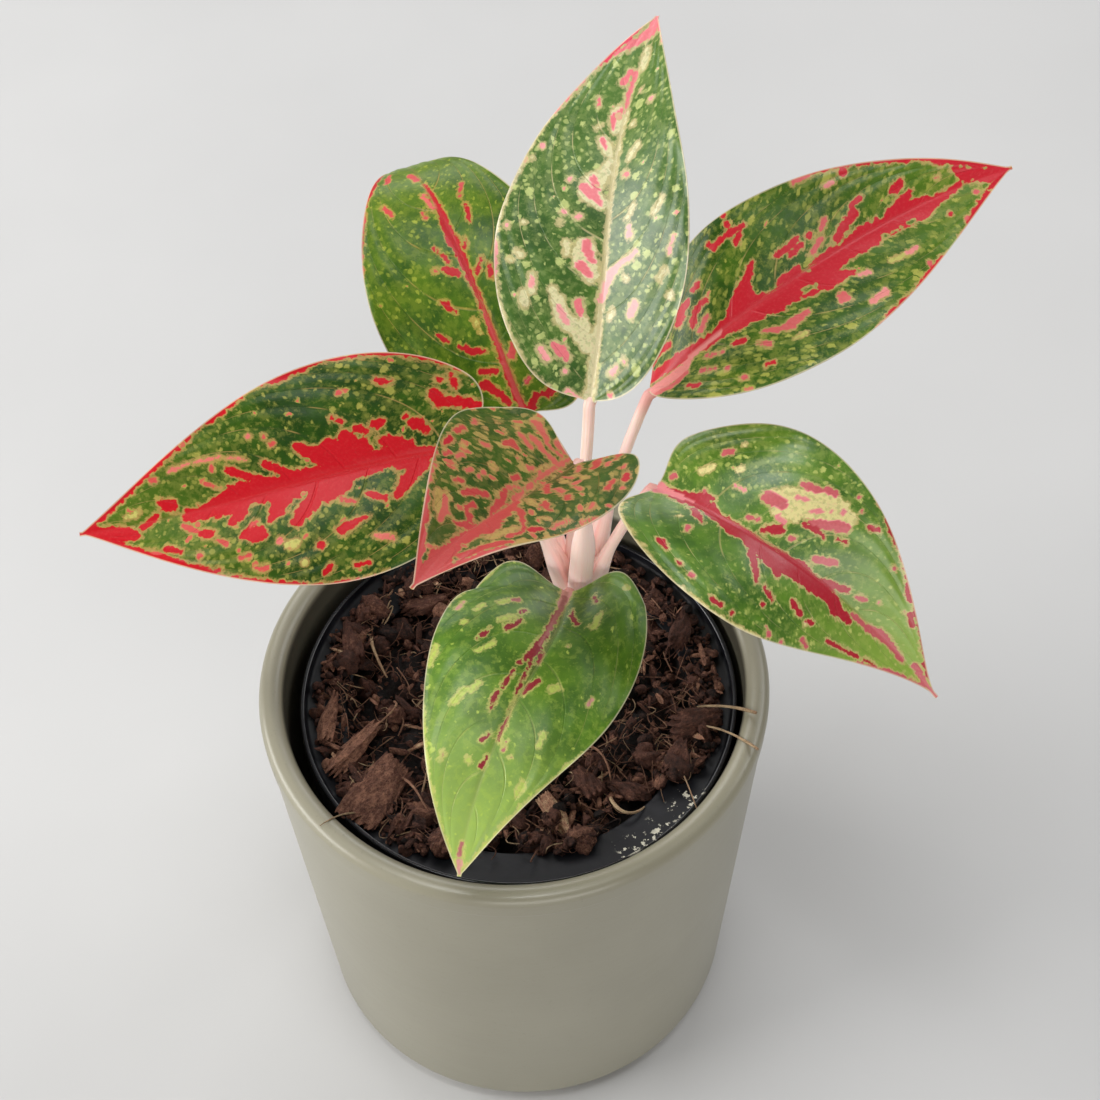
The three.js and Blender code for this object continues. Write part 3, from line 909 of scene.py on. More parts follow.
    def _keep_fields(self, piece: Piece, u: Array, v: Array, across: Array, edge: Array) -> None:
        """Keep what the materials read, alike on both sides.

        Args:
            piece: The blade.
            u: Shares of the length.
            v: Shares of the half width.
            across: Millimetres across.
            edge: Millimetres from the margin.
        """
        x = u * self.length
        splash, hue, loose = self.splash_field(x, across, edge, u)
        crowd = np.zeros(x.shape)
        for cx, cy, radius, amount in self.crowds:
            crowd += amount * np.exp(-(((x - cx) / radius) ** 2) - ((across - cy) / radius) ** 2)
        far = np.where(across < 0, self.half_offset, 0.0) + self.leaf_offset * self.seed
        lean = math.radians(self.vein_lean)
        out = x * math.cos(lean) + np.abs(across) * math.sin(lean)
        aside = x * math.sin(lean) - np.abs(across) * math.cos(lean)
        flow = np.stack([out + far, aside, 0 * x], 1)
        fields = {
            "along": u,
            "edge": edge,
            "splash": splash,
            "hue": hue,
            "loose": loose,
            "crowd": crowd,
            "flow": flow,
            "rib": np.exp(-((across / (0.4 + 0.4 * (1 - u))) ** 2)) * (1 - u) ** 0.5,
            "turn": self.vein_turn(u, v),
            "inner": smooth(np.abs(across) / 2) * smooth(edge / 3),
        }
        for name, values in fields.items():
            keep_numbers(piece, name, np.concatenate([values, values]))

    def dress(self, piece: Piece) -> None:
        """Give the blade its two sides' materials."""
        materials = [self.tint.upper(f"{self.name}_upper"), self.tint.under(f"{self.name}_under")]
        dress(piece, materials, f"leaf_{self.name}", f"blade_{self.name}")


@dataclass(frozen=True)
class StalkFinish:
    """Pale pink skin of a leaf stalk, streaked along its length."""

    base: Colour = srgb(255, 224, 214)
    blush: Colour = srgb(250, 160, 154)
    green: Colour = srgb(216, 184, 140)

    def build(self, name: str) -> Material:
        """Build the material.

        Args:
            name: The material's name.

        Returns:
            The material.
        """
        g = Graph(name)
        skin = g.places("skin")
        along = g.number("along")
        wing = g.number("wing")
        streaks = g.noise(g.scaled(skin, (0.04, 0.9, 1.0)), 1.0, 3.0, 0.6)
        cloud = g.noise(g.scaled(skin, (0.1, 0.3, 1.0)), 1.0, 2.0)
        colour = g.mix(streaks.step(0.4, 0.8) * 0.26, self.base, self.blush)
        colour = g.mix(wing * 0.5, colour, self.blush)
        colour = g.mix(along.step(0.5, 0.9) * cloud.step(0.4, 0.6) * 0.3, colour, self.green)
        colour = g.mix(g.number("ruddy"), colour, srgb(216, 92, 100))
        return g.finish({
            "Base Color": colour,
            "Roughness": 0.38 + cloud * 0.15,
            "Subsurface Weight": 0.15,
            "Subsurface Radius": (1.0, 0.5, 0.3),
            "Subsurface Scale": 3 * MM,
            "Coat Weight": 0.1,
            "Normal": g.bump(streaks, 0.25 * MM, 0.6),
        })


@dataclass
class Stalk:
    """A leaf stalk: an open sheath round its neighbours that narrows to a round stalk.

    Attributes:
        blade: The blade that it carries.
    """

    blade: Blade
    rows: int = 110
    sides: int = 36
    sheath_radius: float = 3.0
    stalk_radius: float = 1.45
    end_radius: float = 0.6
    sheath_end: float = 0.42
    stalk_start: float = 0.66
    run_in: float = 9.0
    channel: float = 0.32
    lane: int = 500
    overlap: int = 60
    sunk: tuple[float, float] = (1.8, 1.2)
    heart: Point = (16.5, 3.0, 0.0)

    def build(self) -> Piece:
        """Build the stalk along its curve and on under the start of the midrib.

        Returns:
            The piece.
        """
        piece, share, turn = grid(f"stalk_{self.blade.name}", self.rows, self.sides)
        angle = 2 * math.pi * turn
        line, _ = bezier(self.blade.shape.stalk, np.linspace(0, 1, self.lane))
        start = np.linspace(0, 0.2, self.overlap)
        midrib, _ = bezier(self.blade.shape.midrib, start)
        _, face = self.blade.surface(start, np.zeros(self.overlap))
        reach = np.linspace(0, 1, self.overlap)
        sunk = midrib - face * lerp(*self.sunk, reach)[:, None]
        run = np.linalg.norm(midrib - midrib[0], axis=1)
        line = np.concatenate([line, sunk[(run > 0.9) & (run < self.run_in)]])
        steps = np.concatenate([[0], np.cumsum(np.linalg.norm(np.diff(line, axis=0), axis=1))])
        stalk_length = steps[self.lane - 1]
        at = share * steps[-1]
        centre = np.stack([np.interp(at, steps, line[:, k]) for k in range(3)], 1)
        ahead = np.stack([np.interp(at + 0.4, steps, line[:, k]) for k in range(3)], 1)
        behind = np.stack([np.interp(at - 0.4, steps, line[:, k]) for k in range(3)], 1)
        tangent = unit(ahead - behind)
        along = np.clip(at / stalk_length, 0, 1)
        inward = np.asarray(self.heart) - line[self.lane // 2 + 10] * [1, 1, 0]
        inward = inward / max(np.linalg.norm(inward), 1.0)
        inner = inward * (1 - along[:, None]) + face[0] * along[:, None] * 1.2
        inner = unit(inner - (inner * tangent).sum(1, keepdims=True) * tangent)
        side = np.cross(tangent, inner)
        sheathed = 1 - smooth((along - self.sheath_end) / (self.stalk_start - self.sheath_end))
        radius = lerp(self.stalk_radius, self.sheath_radius, sheathed)
        past = smooth((at - stalk_length) / (steps[-1] - stalk_length + 1e-6))
        radius = lerp(radius, self.end_radius, past)
        turned = np.abs((angle + math.pi) % (2 * math.pi) - math.pi)
        channel = self.channel * lerp(0.35, 1.0, sheathed) * np.exp(-((turned / 0.42) ** 2))
        wing = np.exp(-(((turned - 0.75) / 0.2) ** 2))
        radius = radius * (1 - channel + 0.08 * wing * sheathed)
        place = centre + inner * (radius * np.cos(angle))[:, None] + side * (radius * np.sin(angle))[:, None]
        move_vertices(piece, place * MM)
        keep_numbers(piece, "along", along)
        keep_numbers(piece, "wing", wing * sheathed)
        keep_numbers(piece, "ruddy", self.blade.tint.ruddy * smooth((along - 0.9) / 0.1))
        skin = np.stack([at, 6 * np.cos(angle), 6 * np.sin(angle) + 9 * self.blade.seed], 1)
        keep_numbers(piece, "skin", skin)
        close_mesh(piece)
        shade_smooth(piece, 60)
        return piece

    def dress(self, piece: Piece, material: Material) -> None:
        """Give the stalk its skin."""
        dress(piece, [material], "pink_stalk", f"petiole_{self.blade.name}")


# ---- Cane ----


@dataclass
class Cane:
    """The short upright stem that the stalks grow from, with ring-shaped leaf scars."""

    base: Point = (16, 5, 108)
    top: Point = (17, 1, 168)
    base_radius: float = 4.2
    top_radius: float = 3.3
    scars: int = 5
    scar_height: float = 0.35
    rows: int = 120
    sides: int = 40

    def build(self) -> Piece:
        """Build the cane as one closed tube.

        Returns:
            The piece.
        """
        piece, share, turn = grid("cane", self.rows, self.sides)
        angle = 2 * math.pi * turn
        base, top = np.asarray(self.base, float), np.asarray(self.top, float)
        scar = np.maximum(0, np.cos(2 * math.pi * self.scars * share + 0.4 * np.sin(angle))) ** 12
        radius = lerp(self.base_radius, self.top_radius, share) + self.scar_height * scar
        radius = radius + 0.08 * np.sin(3 * angle + 9 * share)
        place = base + (top - base) * share[:, None]
        place[:, 0] += radius * np.cos(angle)
        place[:, 1] += radius * np.sin(angle)
        move_vertices(piece, place * MM)
        keep_numbers(piece, "scar", scar)
        close_mesh(piece)
        shade_smooth(piece)
        return piece

    def dress(self, piece: Piece) -> None:
        """Give the cane its green skin, brown at the scars.

        Args:
            piece: The cane.
        """
        g = Graph("cane_skin")
        places = g.scaled(g.places(), (1000, 1000, 260))
        cloud = g.noise(places, 0.5, 3.0, 0.6)
        skin = g.mix(cloud.step(0.3, 0.7), srgb(150, 142, 92), srgb(198, 180, 128))
        colour = g.mix(g.number("scar") * 0.8, skin, srgb(104, 78, 52))
        material = g.finish({
            "Base Color": colour,
            "Roughness": 0.5 + cloud * 0.2,
            "Normal": g.bump(cloud, 0.4 * MM, 0.6),
        })
        dress(piece, [material], "green_cane", "stem")


# ---- Turned pots ----


def rounded(corners: Sequence[Point], steps: int = 6) -> list[tuple[float, float]]:
    """Round the corners of an outline.

    Args:
        corners: Radius, height and rounding of each corner, in millimetres.
        steps: Points round each corner.

    Returns:
        The outline's points as radius and height.
    """
    points: list[tuple[float, float]] = []
    for i, (radius, height, rounding) in enumerate(corners):
        here = np.array([radius, height])
        if rounding == 0 or i in (0, len(corners) - 1):
            points.append((radius, height))
            continue
        before = unit(np.asarray(corners[i - 1][:2]) - here)
        after = unit(np.asarray(corners[i + 1][:2]) - here)
        half = math.acos(float(np.clip(before @ after, -1, 1))) / 2
        reach = rounding / math.tan(half)
        centre = here + unit(before + after) * rounding / math.sin(half)
        start, end = here + before * reach - centre, here + after * reach - centre
        for k in range(steps + 1):
            spoke = unit(start + (end - start) * k / steps) * rounding
            points.append(tuple(centre + spoke))
    return points


def turned(name: str, outline: Sequence[tuple[float, float]], sides: int) -> Piece:
    """Spin an outline that starts and ends on the axis into a closed piece.

    Args:
        name: The piece's name.
        outline: Radius and height of each point, in millimetres.
        sides: Faces round the axis.

    Returns:
        The piece.
    """
    deselect_all()
    mesh = bpy.data.meshes.new(name)
    points = [(radius * MM, 0, height * MM) for radius, height in outline]
    mesh.from_pydata(points, [(i, i + 1) for i in range(len(points) - 1)], [])
    piece = bpy.data.objects.new(name, mesh)
    bpy.context.collection.objects.link(piece)
    bpy.context.view_layer.objects.active = piece
    piece.select_set(True)
    bpy.ops.object.mode_set(mode="EDIT")
    bpy.ops.mesh.select_all(action="SELECT")
    bpy.ops.mesh.spin(steps=sides, angle=2 * math.pi, center=(0, 0, 0), axis=(0, 0, 1))
    bpy.ops.object.mode_set(mode="OBJECT")
    close_mesh(piece, 2e-6)
    return piece


POT_SHIFT = 1.0  # Millimetres from the axis of the outer pot to that of the inner one, along X.


@dataclass
class Cachepot:
    """The glazed outer pot: a tapered cup with a broad rounded rim over a fine step line."""

    height: float = 135
    rim_radius: float = 68.5
    rim_inner: float = 61.8
    shoulder: float = 68.2
    step_depth: float = 0.4
    step_height: float = 127
    base_radius: float = 60.4
    base_round: float = 8
    floor: float = 9
    floor_radius: float = 51
    sides: int = 224

    def build(self) -> Piece:
        """Spin the pot's outline.

        Returns:
            The piece.
        """
        outline = rounded([
            (0, 0, 0),
            (self.base_radius - 9, 0, 1),
            (self.base_radius - 0.6, 0, self.base_round),
            (self.shoulder - self.step_depth, self.step_height, 0.6),
            (self.shoulder, self.step_height + 0.8, 0.4),
            (self.rim_radius, self.height - 0.7, 2.6),
            (self.rim_radius - 3.4, self.height, 3),
            (self.rim_inner, self.height - 0.9, 3.2),
            (self.rim_inner - 0.9, self.height / 2, 20),
            (self.floor_radius + 6, self.floor, 8),
            (0, self.floor, 0),
        ])
        piece = turned("outer_pot", outline, self.sides)
        x, y, z = vertex_places(piece).T / MM
        # Mask for painted shade: the inside wall just below the rim, whose glaze is painted dark to stand for
        # the shade there.
        within = smooth((self.rim_inner + 0.9 - np.hypot(x, y)) / 0.9)
        below = smooth((self.height - 1 - z) / 1.4) * smooth((z - 100) / 10)
        keep_numbers(piece, "inner", within * below)
        shade_smooth(piece, 40)
        return piece

    def dress(self, piece: Piece) -> None:
        """Give the pot its satin olive glaze, with painted shade on the inside below the rim.

        Args:
            piece: The pot.
        """
        g = Graph("olive_glaze")
        places = g.places()
        cloud = g.noise(places, 14.0, 3.0, 0.6)
        speck = g.noise(places, 900.0, 2.0, 0.6)
        ripple = g.noise(g.scaled(places, (60, 60, 240)), 1.0, 2.0)
        colour = g.mix(cloud.step(0.3, 0.7), srgb(137, 133, 114), srgb(146, 142, 123))
        colour = g.mix(speck.step(0.62, 0.75) * 0.22, colour, srgb(112, 108, 90))
        # Painted shade: the inside just below the rim is painted dark olive, where the pot lies in shade.
        colour = g.mix(g.number("inner") * 0.85, colour, srgb(46, 43, 35))
        material = g.finish({
            "Base Color": colour,
            "Roughness": 0.36 + cloud * 0.1,
            "Specular IOR Level": 0.55,
            "Coat Weight": 0.3,
            "Coat Roughness": 0.2,
            "Normal": g.bump(speck * 0.5 + ripple * 1.2, 0.08 * MM, 0.5),
        })
        dress(piece, [material], "olive_glaze", "cachepot")


@dataclass
class NurseryPot:
    """The black plastic pot inside, with a rolled lip and a broad sloping collar round the soil."""

    shift: float = POT_SHIFT
    lip_radius: float = 59
    lip_top: float = 127
    lip_height: float = 9
    lip_width: float = 1.2
    collar_top: float = 124.4
    collar_bottom: float = 121
    collar_inner: float = 46.6
    collar_radius: float = 53.6
    base_radius: float = 43
    bottom: float = 9.3
    wall: float = 1.2
    drain_count: int = 6
    drain_radius: float = 3.5
    drain_circle: float = 28
    sides: int = 200
    dust_spots: tuple[Point, ...] = (
        (46, -31.5, 3), (42.5, -36, 2.6), (38, -41, 2.6), (33, -44.8, 2.8), (28.5, -47.5, 3),
    )

    def build(self) -> Piece:
        """Spin the pot's outline and cut its drain holes.

        Returns:
            The piece.
        """
        skirt = self.lip_top - self.lip_height
        share = (skirt + 1 - self.bottom) / (self.collar_bottom - self.bottom)
        under_skirt = lerp(self.base_radius, self.collar_radius + self.wall, share)
        inner_lip = self.lip_radius - self.lip_width
        outline = rounded([
            (0, self.bottom, 0),
            (self.base_radius, self.bottom, 2),
            (under_skirt, skirt + 1, 0.4),
            (self.lip_radius - self.wall, skirt, 0.2),
            (self.lip_radius, skirt, 0.3),
            (self.lip_radius, self.lip_top, 0.55),
            (inner_lip, self.lip_top, 0.45),
            (inner_lip - 0.3, self.collar_top, 1.2),
            (self.collar_inner, self.collar_bottom + 1.2, 0.5),
            (self.collar_inner, self.collar_bottom + 0.2, 0.3),
            (self.collar_radius, self.collar_bottom, 0.3),
            (self.base_radius - self.wall, self.bottom + self.wall, 1.5),
            (0, self.bottom + self.wall, 0),
        ])
        piece = turned("nursery_pot_shell", outline, self.sides)
        self._drill(piece)
        places = vertex_places(piece) + [self.shift * MM, 0, 0]
        move_vertices(piece, places)
        x, y, z = places.T / MM
        dusty = 0.2 * smooth((z - 120) / 3)
        for spot_x, spot_y, spread in self.dust_spots:
            dusty += np.exp(-(((x - spot_x) / spread) ** 2) - ((y - spot_y) / spread) ** 2)
        keep_numbers(piece, "dusty", dusty)
        keep_numbers(piece, "lip", smooth((z - self.lip_top + 1.2) / 0.8))
        shade_smooth(piece, 35)
        return piece

    def _drill(self, piece: Piece) -> None:
        """Cut the drain holes with one modifier.

        Args:
            piece: The pot.
        """
        deselect_all()
        cutters = []
        for k in range(self.drain_count):
            angle = 2 * math.pi * k / self.drain_count
            x, y = self.drain_circle * math.cos(angle), self.drain_circle * math.sin(angle)
            bpy.ops.mesh.primitive_cylinder_add(
                vertices=32,
                radius=self.drain_radius * MM,
                depth=4 * self.wall * MM,
                location=(x * MM, y * MM, self.bottom * MM),
            )
            cutters.append(bpy.context.object)
        for cutter in cutters:
            cutter.select_set(True)
        bpy.ops.object.join()
        cutter = bpy.context.object
        deselect_all()
        bpy.context.view_layer.objects.active = piece
        modifier = piece.modifiers.new("drains", "BOOLEAN")
        modifier.operation = "DIFFERENCE"
        modifier.solver = "EXACT"
        modifier.object = cutter
        bpy.ops.object.modifier_apply(modifier=modifier.name)
        bpy.data.objects.remove(cutter)

    def dress(self, piece: Piece) -> None:
        """Give the pot its satin black plastic, dusty here and there.

        Args:
            piece: The pot.
        """
        g = Graph("black_plastic")
        places = g.places()
        cloud = g.noise(places, 45.0, 4.0, 0.65)
        dust = g.noise(places, 700.0, 3.0, 0.7)
        flakes = g.noise(places, 430.0, 3.0, 0.65)
        dusty = g.number("dusty")
        film = cloud.step(0.45, 0.75) * 0.2 + dust.step(0.62, 0.72) * 0.15 * dusty
        colour = g.mix(film, srgb(14, 15, 20), srgb(74, 74, 80))
        colour = g.mix(flakes.step(0.57, 0.61) * dusty.step(0.35, 0.6), colour, srgb(196, 192, 176))
        material = g.finish({
            "Base Color": colour,
            "Roughness": 0.42 + cloud * 0.16 - g.number("lip") * 0.24,
            "Specular IOR Level": 0.26,
            "Coat Weight": g.number("lip") * 0.8,
            "Coat Roughness": 0.22,
            "Normal": g.bump(dust * 0.4 + cloud, 0.12 * MM, 0.5),
        })
        dress(piece, [material], "black_plastic", "nursery_pot")


# ---- Soil ----


@dataclass(frozen=True)
class CoirFinish:
    """Damp coir and bark: dark brown, streaked along each chip."""

    dark: Colour = srgb(34, 22, 18)
    middle: Colour = srgb(92, 58, 46)
    light: Colour = srgb(166, 120, 96)
    straw: Colour = srgb(216, 188, 148)

    def bed(self, name: str) -> Material:
        """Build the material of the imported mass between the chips.

        Args:
            name: The material's name.

        Returns:
            The material.
        """
        g = Graph(name)
        places = g.places()
        cloud = g.noise(places, 260.0, 4.0, 0.7)
        grains = g.noise(places, 1400.0, 3.0, 0.7)
        colour = g.mix(cloud.step(0.35, 0.7), srgb(16, 11, 10), self.dark)
        colour = g.mix(grains.step(0.6, 0.75) * 0.6, colour, self.middle)
        return g.finish({
            "Base Color": colour,
            "Roughness": 0.9,
            "Normal": g.bump(cloud + grains * 0.5, 1.2 * MM, 1.0),
        })

    def chips(self, name: str) -> Material:
        """Build the material of chips and crumbs, each with its own tone.

        Args:
            name: The material's name.

        Returns:
            The material.
        """
        g = Graph(name)
        grain = g.places("grain")
        tone = g.number("tone")
        streaks = g.noise(g.scaled(grain, (0.6, 1.7, 1.7)), 1.0, 5.0, 0.75)
        cloud = g.noise(grain, 0.45, 4.0, 0.7)
        pits = g.noise(grain, 2.4, 2.0, 0.6)
        stops = [(0.0, srgb(24, 15, 12)), (0.4, self.middle), (0.75, self.light), (1.0, self.straw)]
        mixed = tone * 0.98 - 0.02 + (streaks - 0.5) * 0.75 + (cloud - 0.5) * 0.8
        colour = g.node("ShaderNodeValToRGB", {"stops": stops}, {0: mixed}).outputs[0]
        colour = g.mix(pits.step(0.45, 0.32) * 0.7, colour, srgb(22, 14, 12))
        return g.finish({
            "Base Color": colour,
            "Roughness": 0.72 + cloud * 0.25,
            "Specular IOR Level": 0.3,
            "Normal": g.bump(streaks * 1.2 + pits * 0.8, 0.7 * MM, 1.0),
        })


class Swarm:
    """A mesh of many small copies, gathered as arrays and made one piece."""

    def __init__(self) -> None:
        """Start with no copies."""
        self.places: list[Array] = []
        self.faces: list[Array] = []
        self.tones: list[Array] = []
        self.grains: list[Array] = []
        self.count = 0

    def add(self, places: Array, faces: Array, tone: float, grain: Array) -> None:
        """Add a copy.

        Args:
            places: Its vertices, in millimetres.
            faces: Its triangles.
            tone: How light it is, 0 to 1.
            grain: Its vertices in its own frame, for streaks along it.
        """
        self.places.append(places)
        self.faces.append(faces + self.count)
        self.tones.append(np.full(len(places), tone))
        self.grains.append(grain)
        self.count += len(places)

    def make(self, name: str) -> Piece:
        """Make the piece.

        Args:
            name: Its name.

        Returns:
            The piece.
        """
        mesh = bpy.data.meshes.new(name)
        places, faces = np.concatenate(self.places) * MM, np.concatenate(self.faces)
        mesh.from_pydata(places.tolist(), [], faces.tolist())
        piece = bpy.data.objects.new(name, mesh)
        bpy.context.collection.objects.link(piece)
        keep_numbers(piece, "tone", np.concatenate(self.tones))
        keep_numbers(piece, "grain", np.concatenate(self.grains))
        return piece


def tube_faces(rows: int, sides: int) -> Array:
    """List the triangles of a closed tube of rows + 1 rings of vertices.

    Args:
        rows: Bands of faces along it.
        sides: Vertices in a ring.

    Returns:
        The triangles.
    """
    faces = []
    for i in range(rows):
        for k in range(sides):
            a, b = i * sides + k, i * sides + (k + 1) % sides
            faces += [(a, b, b + sides), (a, b + sides, a + sides)]
    last = rows * sides
    for k in range(1, sides - 1):
        faces += [(0, k + 1, k), (last, last + k, last + k + 1)]
    return np.array(faces)


def spun(yaw: float, roll: float, pitch: float) -> Array:
    """Return a rotation matrix: roll about X, then pitch about Y, then yaw about Z, in radians.

    Args:
        yaw: Turn about Z.
        roll: Turn about X.
        pitch: Turn about Y.

    Returns:
        The matrix.
    """
    cy, sy = math.cos(yaw), math.sin(yaw)
    cr, sr = math.cos(roll), math.sin(roll)
    cp, sp = math.cos(pitch), math.sin(pitch)
    about_x = np.array([[1, 0, 0], [0, cr, -sr], [0, sr, cr]])
    about_y = np.array([[cp, 0, sp], [0, 1, 0], [-sp, 0, cp]])
    about_z = np.array([[cy, -sy, 0], [sy, cy, 0], [0, 0, 1]])
    return about_z @ about_y @ about_x


@dataclass
class Soil:
    """Coir soil: a lumpy bed, chips and crumbs heaped on it, and loose fibres."""

    level: float = 119.5
    swell: float = 1.3
    crown: float = 1.5
    radius: float = 53.2
    edge_radius: float = 53.6
    bottom: float = 11
    bottom_radius: float = 41.3
    seed: int = 7
    splinters: int = 760
    splinter_reach: float = 51.5
    crumbs: int = 3200
    crumb_reach: float = 52.3
    clumps: int = 110
    clump_reach: float = 49
    fibres: int = 900
    fibre_reach: float = 48
    fibre_limit: float = 52
    room: float = 56.5
    collar: float = 45.5
    collar_step: float = 4.6

    def height(self, x: Array, y: Array) -> Array:
        """Height of the settled surface, in millimetres.

        Args:
            x: Millimetres along X.
            y: Millimetres along Y.

        Returns:
            The heights.
        """
        waves = np.sin(0.31 * x + 1.3) * np.cos(0.27 * y - 0.4) + 0.6 * np.sin(0.55 * x - 0.43 * y)
        away = np.hypot(x - POT_SHIFT, y)
        edge = away / self.edge_radius
        heaped = self.collar_step * smooth((away - self.collar + 3) / 6)
        return self.level + self.crown * (1 - edge**2) + self.swell * waves * (1 - edge**6) + heaped

    def bed(self) -> Piece:
        """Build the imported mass: a plug with a lumpy top.

        Returns:
            The piece.
        """
        piece, share, turn = grid("soil_bed", 150, 180)
        angle = 2 * math.pi * turn
        on_top = share > 0.3
        reach = np.where(on_top, (1 - share) / 0.7, 1)
        radius = np.where(share < 0.1, share / 0.1 * self.bottom_radius, self.radius * reach)
        wall = np.clip((share - 0.1) / 0.2, 0, 1)
        radius = np.where((share >= 0.1) & ~on_top, lerp(self.bottom_radius, self.radius, wall), radius)
        x, y = radius * np.cos(angle) + POT_SHIFT, radius * np.sin(angle)
        lumps = np.sin(1.7 * x + 2 * np.sin(0.9 * y)) * np.sin(1.5 * y + 2 * np.sin(1.1 * x))
        lumps += 0.5 * np.sin(4.1 * x + 3 * np.sin(2.3 * y)) * np.sin(3.7 * y + 3 * np.sin(2.9 * x))
        buried = 1.1 + 3 * smooth((radius - self.collar + 5) / 4)
        top = self.height(x, y) - buried + 0.5 * lumps * smooth((1 - reach) * 12)
        z = np.where(on_top, top, lerp(self.bottom, self.level - 1.3, wall))
        move_vertices(piece, np.stack([x, y, z], 1) * MM)
        close_mesh(piece, 2e-6)
        shade_smooth(piece, 80)
        return piece

    def _splinter(self, draw: np.random.Generator) -> Array:
        """Model one torn chip of unit half sizes: a ragged stick along X, as rings of six points.

        Args:
            draw: The random numbers.

        Returns:
            Its vertices.
        """
        rings = []
        corners = draw.uniform(0.75, 1.1, 6)
        for i in range(7):
            share = i / 6
            end = 1 - abs(2 * share - 1) ** 3 * draw.uniform(0.25, 0.75)
            angle = 2 * math.pi * np.arange(6) / 6 + 0.5
            radius = corners * end * draw.uniform(0.85, 1.12, 6)
            ragged = draw.uniform(-0.16, 0.16, 6) * (1 if i in (0, 6) else 0.3)
            x = 2 * share - 1 + ragged
            rings.append(np.stack([x, radius * np.cos(angle), radius * np.sin(angle)], 1))
        return np.concatenate(rings)

    def _crumb(self, draw: np.random.Generator) -> tuple[Array, Array]:
        """Model one angular crumb of about unit half size.

        Args:
            draw: The random numbers.

        Returns:
            Its vertices and triangles.
        """
        deselect_all()
        bpy.ops.mesh.primitive_ico_sphere_add(subdivisions=2, radius=1)
        ball = bpy.context.object
        places = vertex_places(ball)
        faces = np.array([tuple(face.vertices) for face in ball.data.polygons])
        for _ in range(7):
            cut = unit(draw.normal(size=3))
            depth = draw.uniform(0.45, 0.8)
            over = np.maximum(places @ cut - depth, 0)
            places = places - over[:, None] * cut
        places *= draw.uniform(0.92, 1.08, (len(places), 1))
        bpy.data.objects.remove(ball)
        return places, faces

    def _spots(self, draw: np.random.Generator, count: int, reach: float) -> Array:
        """Draw places over the soil, which leaves the collar bare in front.

        Args:
            draw: The random numbers.
            count: How many.
            reach: Radius of the outermost, in millimetres.

        Returns:
            A place in each row, in millimetres.
        """
        angle = draw.uniform(-math.pi, math.pi, count)
        bare = np.exp(-(((angle + 1.25) / 0.78) ** 4))
        bare = bare + 0.4 * np.sin(7 * angle + 1) * np.exp(-((angle + 1.2) ** 2))
        reach = np.minimum(reach + 3.5, 56 - 11.6 * bare) - np.abs(draw.normal(0, 0.7, count))
        radius = reach * np.sqrt(draw.uniform(0, 1, count))
        outer = draw.uniform(0, 1, count) < 0.3
        radius = np.where(outer, reach - np.abs(draw.normal(0, 4, count)), radius)
        return np.stack([radius * np.cos(angle) + POT_SHIFT, radius * np.sin(angle)], 1)

    def chips(self) -> Piece:
        """Build the long torn chips.

        Returns:
            The piece.
        """
        draw = np.random.default_rng(self.seed)
        swarm = Swarm()
        shapes = [self._splinter(draw) for _ in range(12)]
        faces = tube_faces(6, 6)
        for i, (x, y) in enumerate(self._spots(draw, self.splinters, self.splinter_reach)):
            size = draw.uniform(0.35, 0.95) * (1.6 if draw.uniform() < 0.12 else 1)
            half = np.array([size * draw.uniform(1.6, 4.0), size, size * draw.uniform(0.4, 0.8)])
            room = self.room - math.hypot(x - POT_SHIFT, y)
            if half[0] > room + 1.5:
                half[0] = max(room, 1.2)
            shape = shapes[i % len(shapes)] * half
            turn = spun(draw.uniform(0, 2 * math.pi), draw.normal(0, 0.5), draw.normal(0, 0.28))
            lift = draw.uniform(-0.6, 1.9)
            place = shape @ turn.T + [x, y, float(self.height(x, y)) + lift]
            tone = np.clip(draw.normal(0.36, 0.16) + 0.06 * lift, 0.05, 0.95)
            swarm.add(place, faces, tone, shape + draw.uniform(0, 90, 3))
        piece = swarm.make("soil_chips")
        shade_smooth(piece, 35)
        return piece

    def crumb_pieces(self) -> list[Piece]:
        """Build the small angular crumbs between the chips, in two pieces of equal weight.

        Returns:
            The two pieces.
        """
        draw = np.random.default_rng(self.seed + 1)
        swarms = (Swarm(), Swarm())
        shapes = [self._crumb(draw) for _ in range(8)]
        for i, (x, y) in enumerate(self._spots(draw, self.crumbs, self.crumb_reach)):
            size = 0.38 * math.exp(abs(draw.normal(0, 0.75)))
            size = min(size, 1.9)
            places, faces = shapes[i % len(shapes)]
            half = size * draw.uniform(0.7, 1.3, 3)
            shape = places * half
            turn = spun(*draw.uniform(0, 2 * math.pi, 3))
            lift = draw.uniform(-0.7, 1.3)
            place = shape @ turn.T + [x, y, float(self.height(x, y)) + lift]
            tone = np.clip(draw.normal(0.27, 0.17), 0.02, 0.9)
            swarms[i % 2].add(place, faces, tone, shape + draw.uniform(0, 90, 3))
        pieces = [swarm.make(name) for swarm, name in zip(swarms, ("soil_crumbs", "soil_grit"))]
        for piece in pieces:
            shade_smooth(piece, 30)
        return pieces

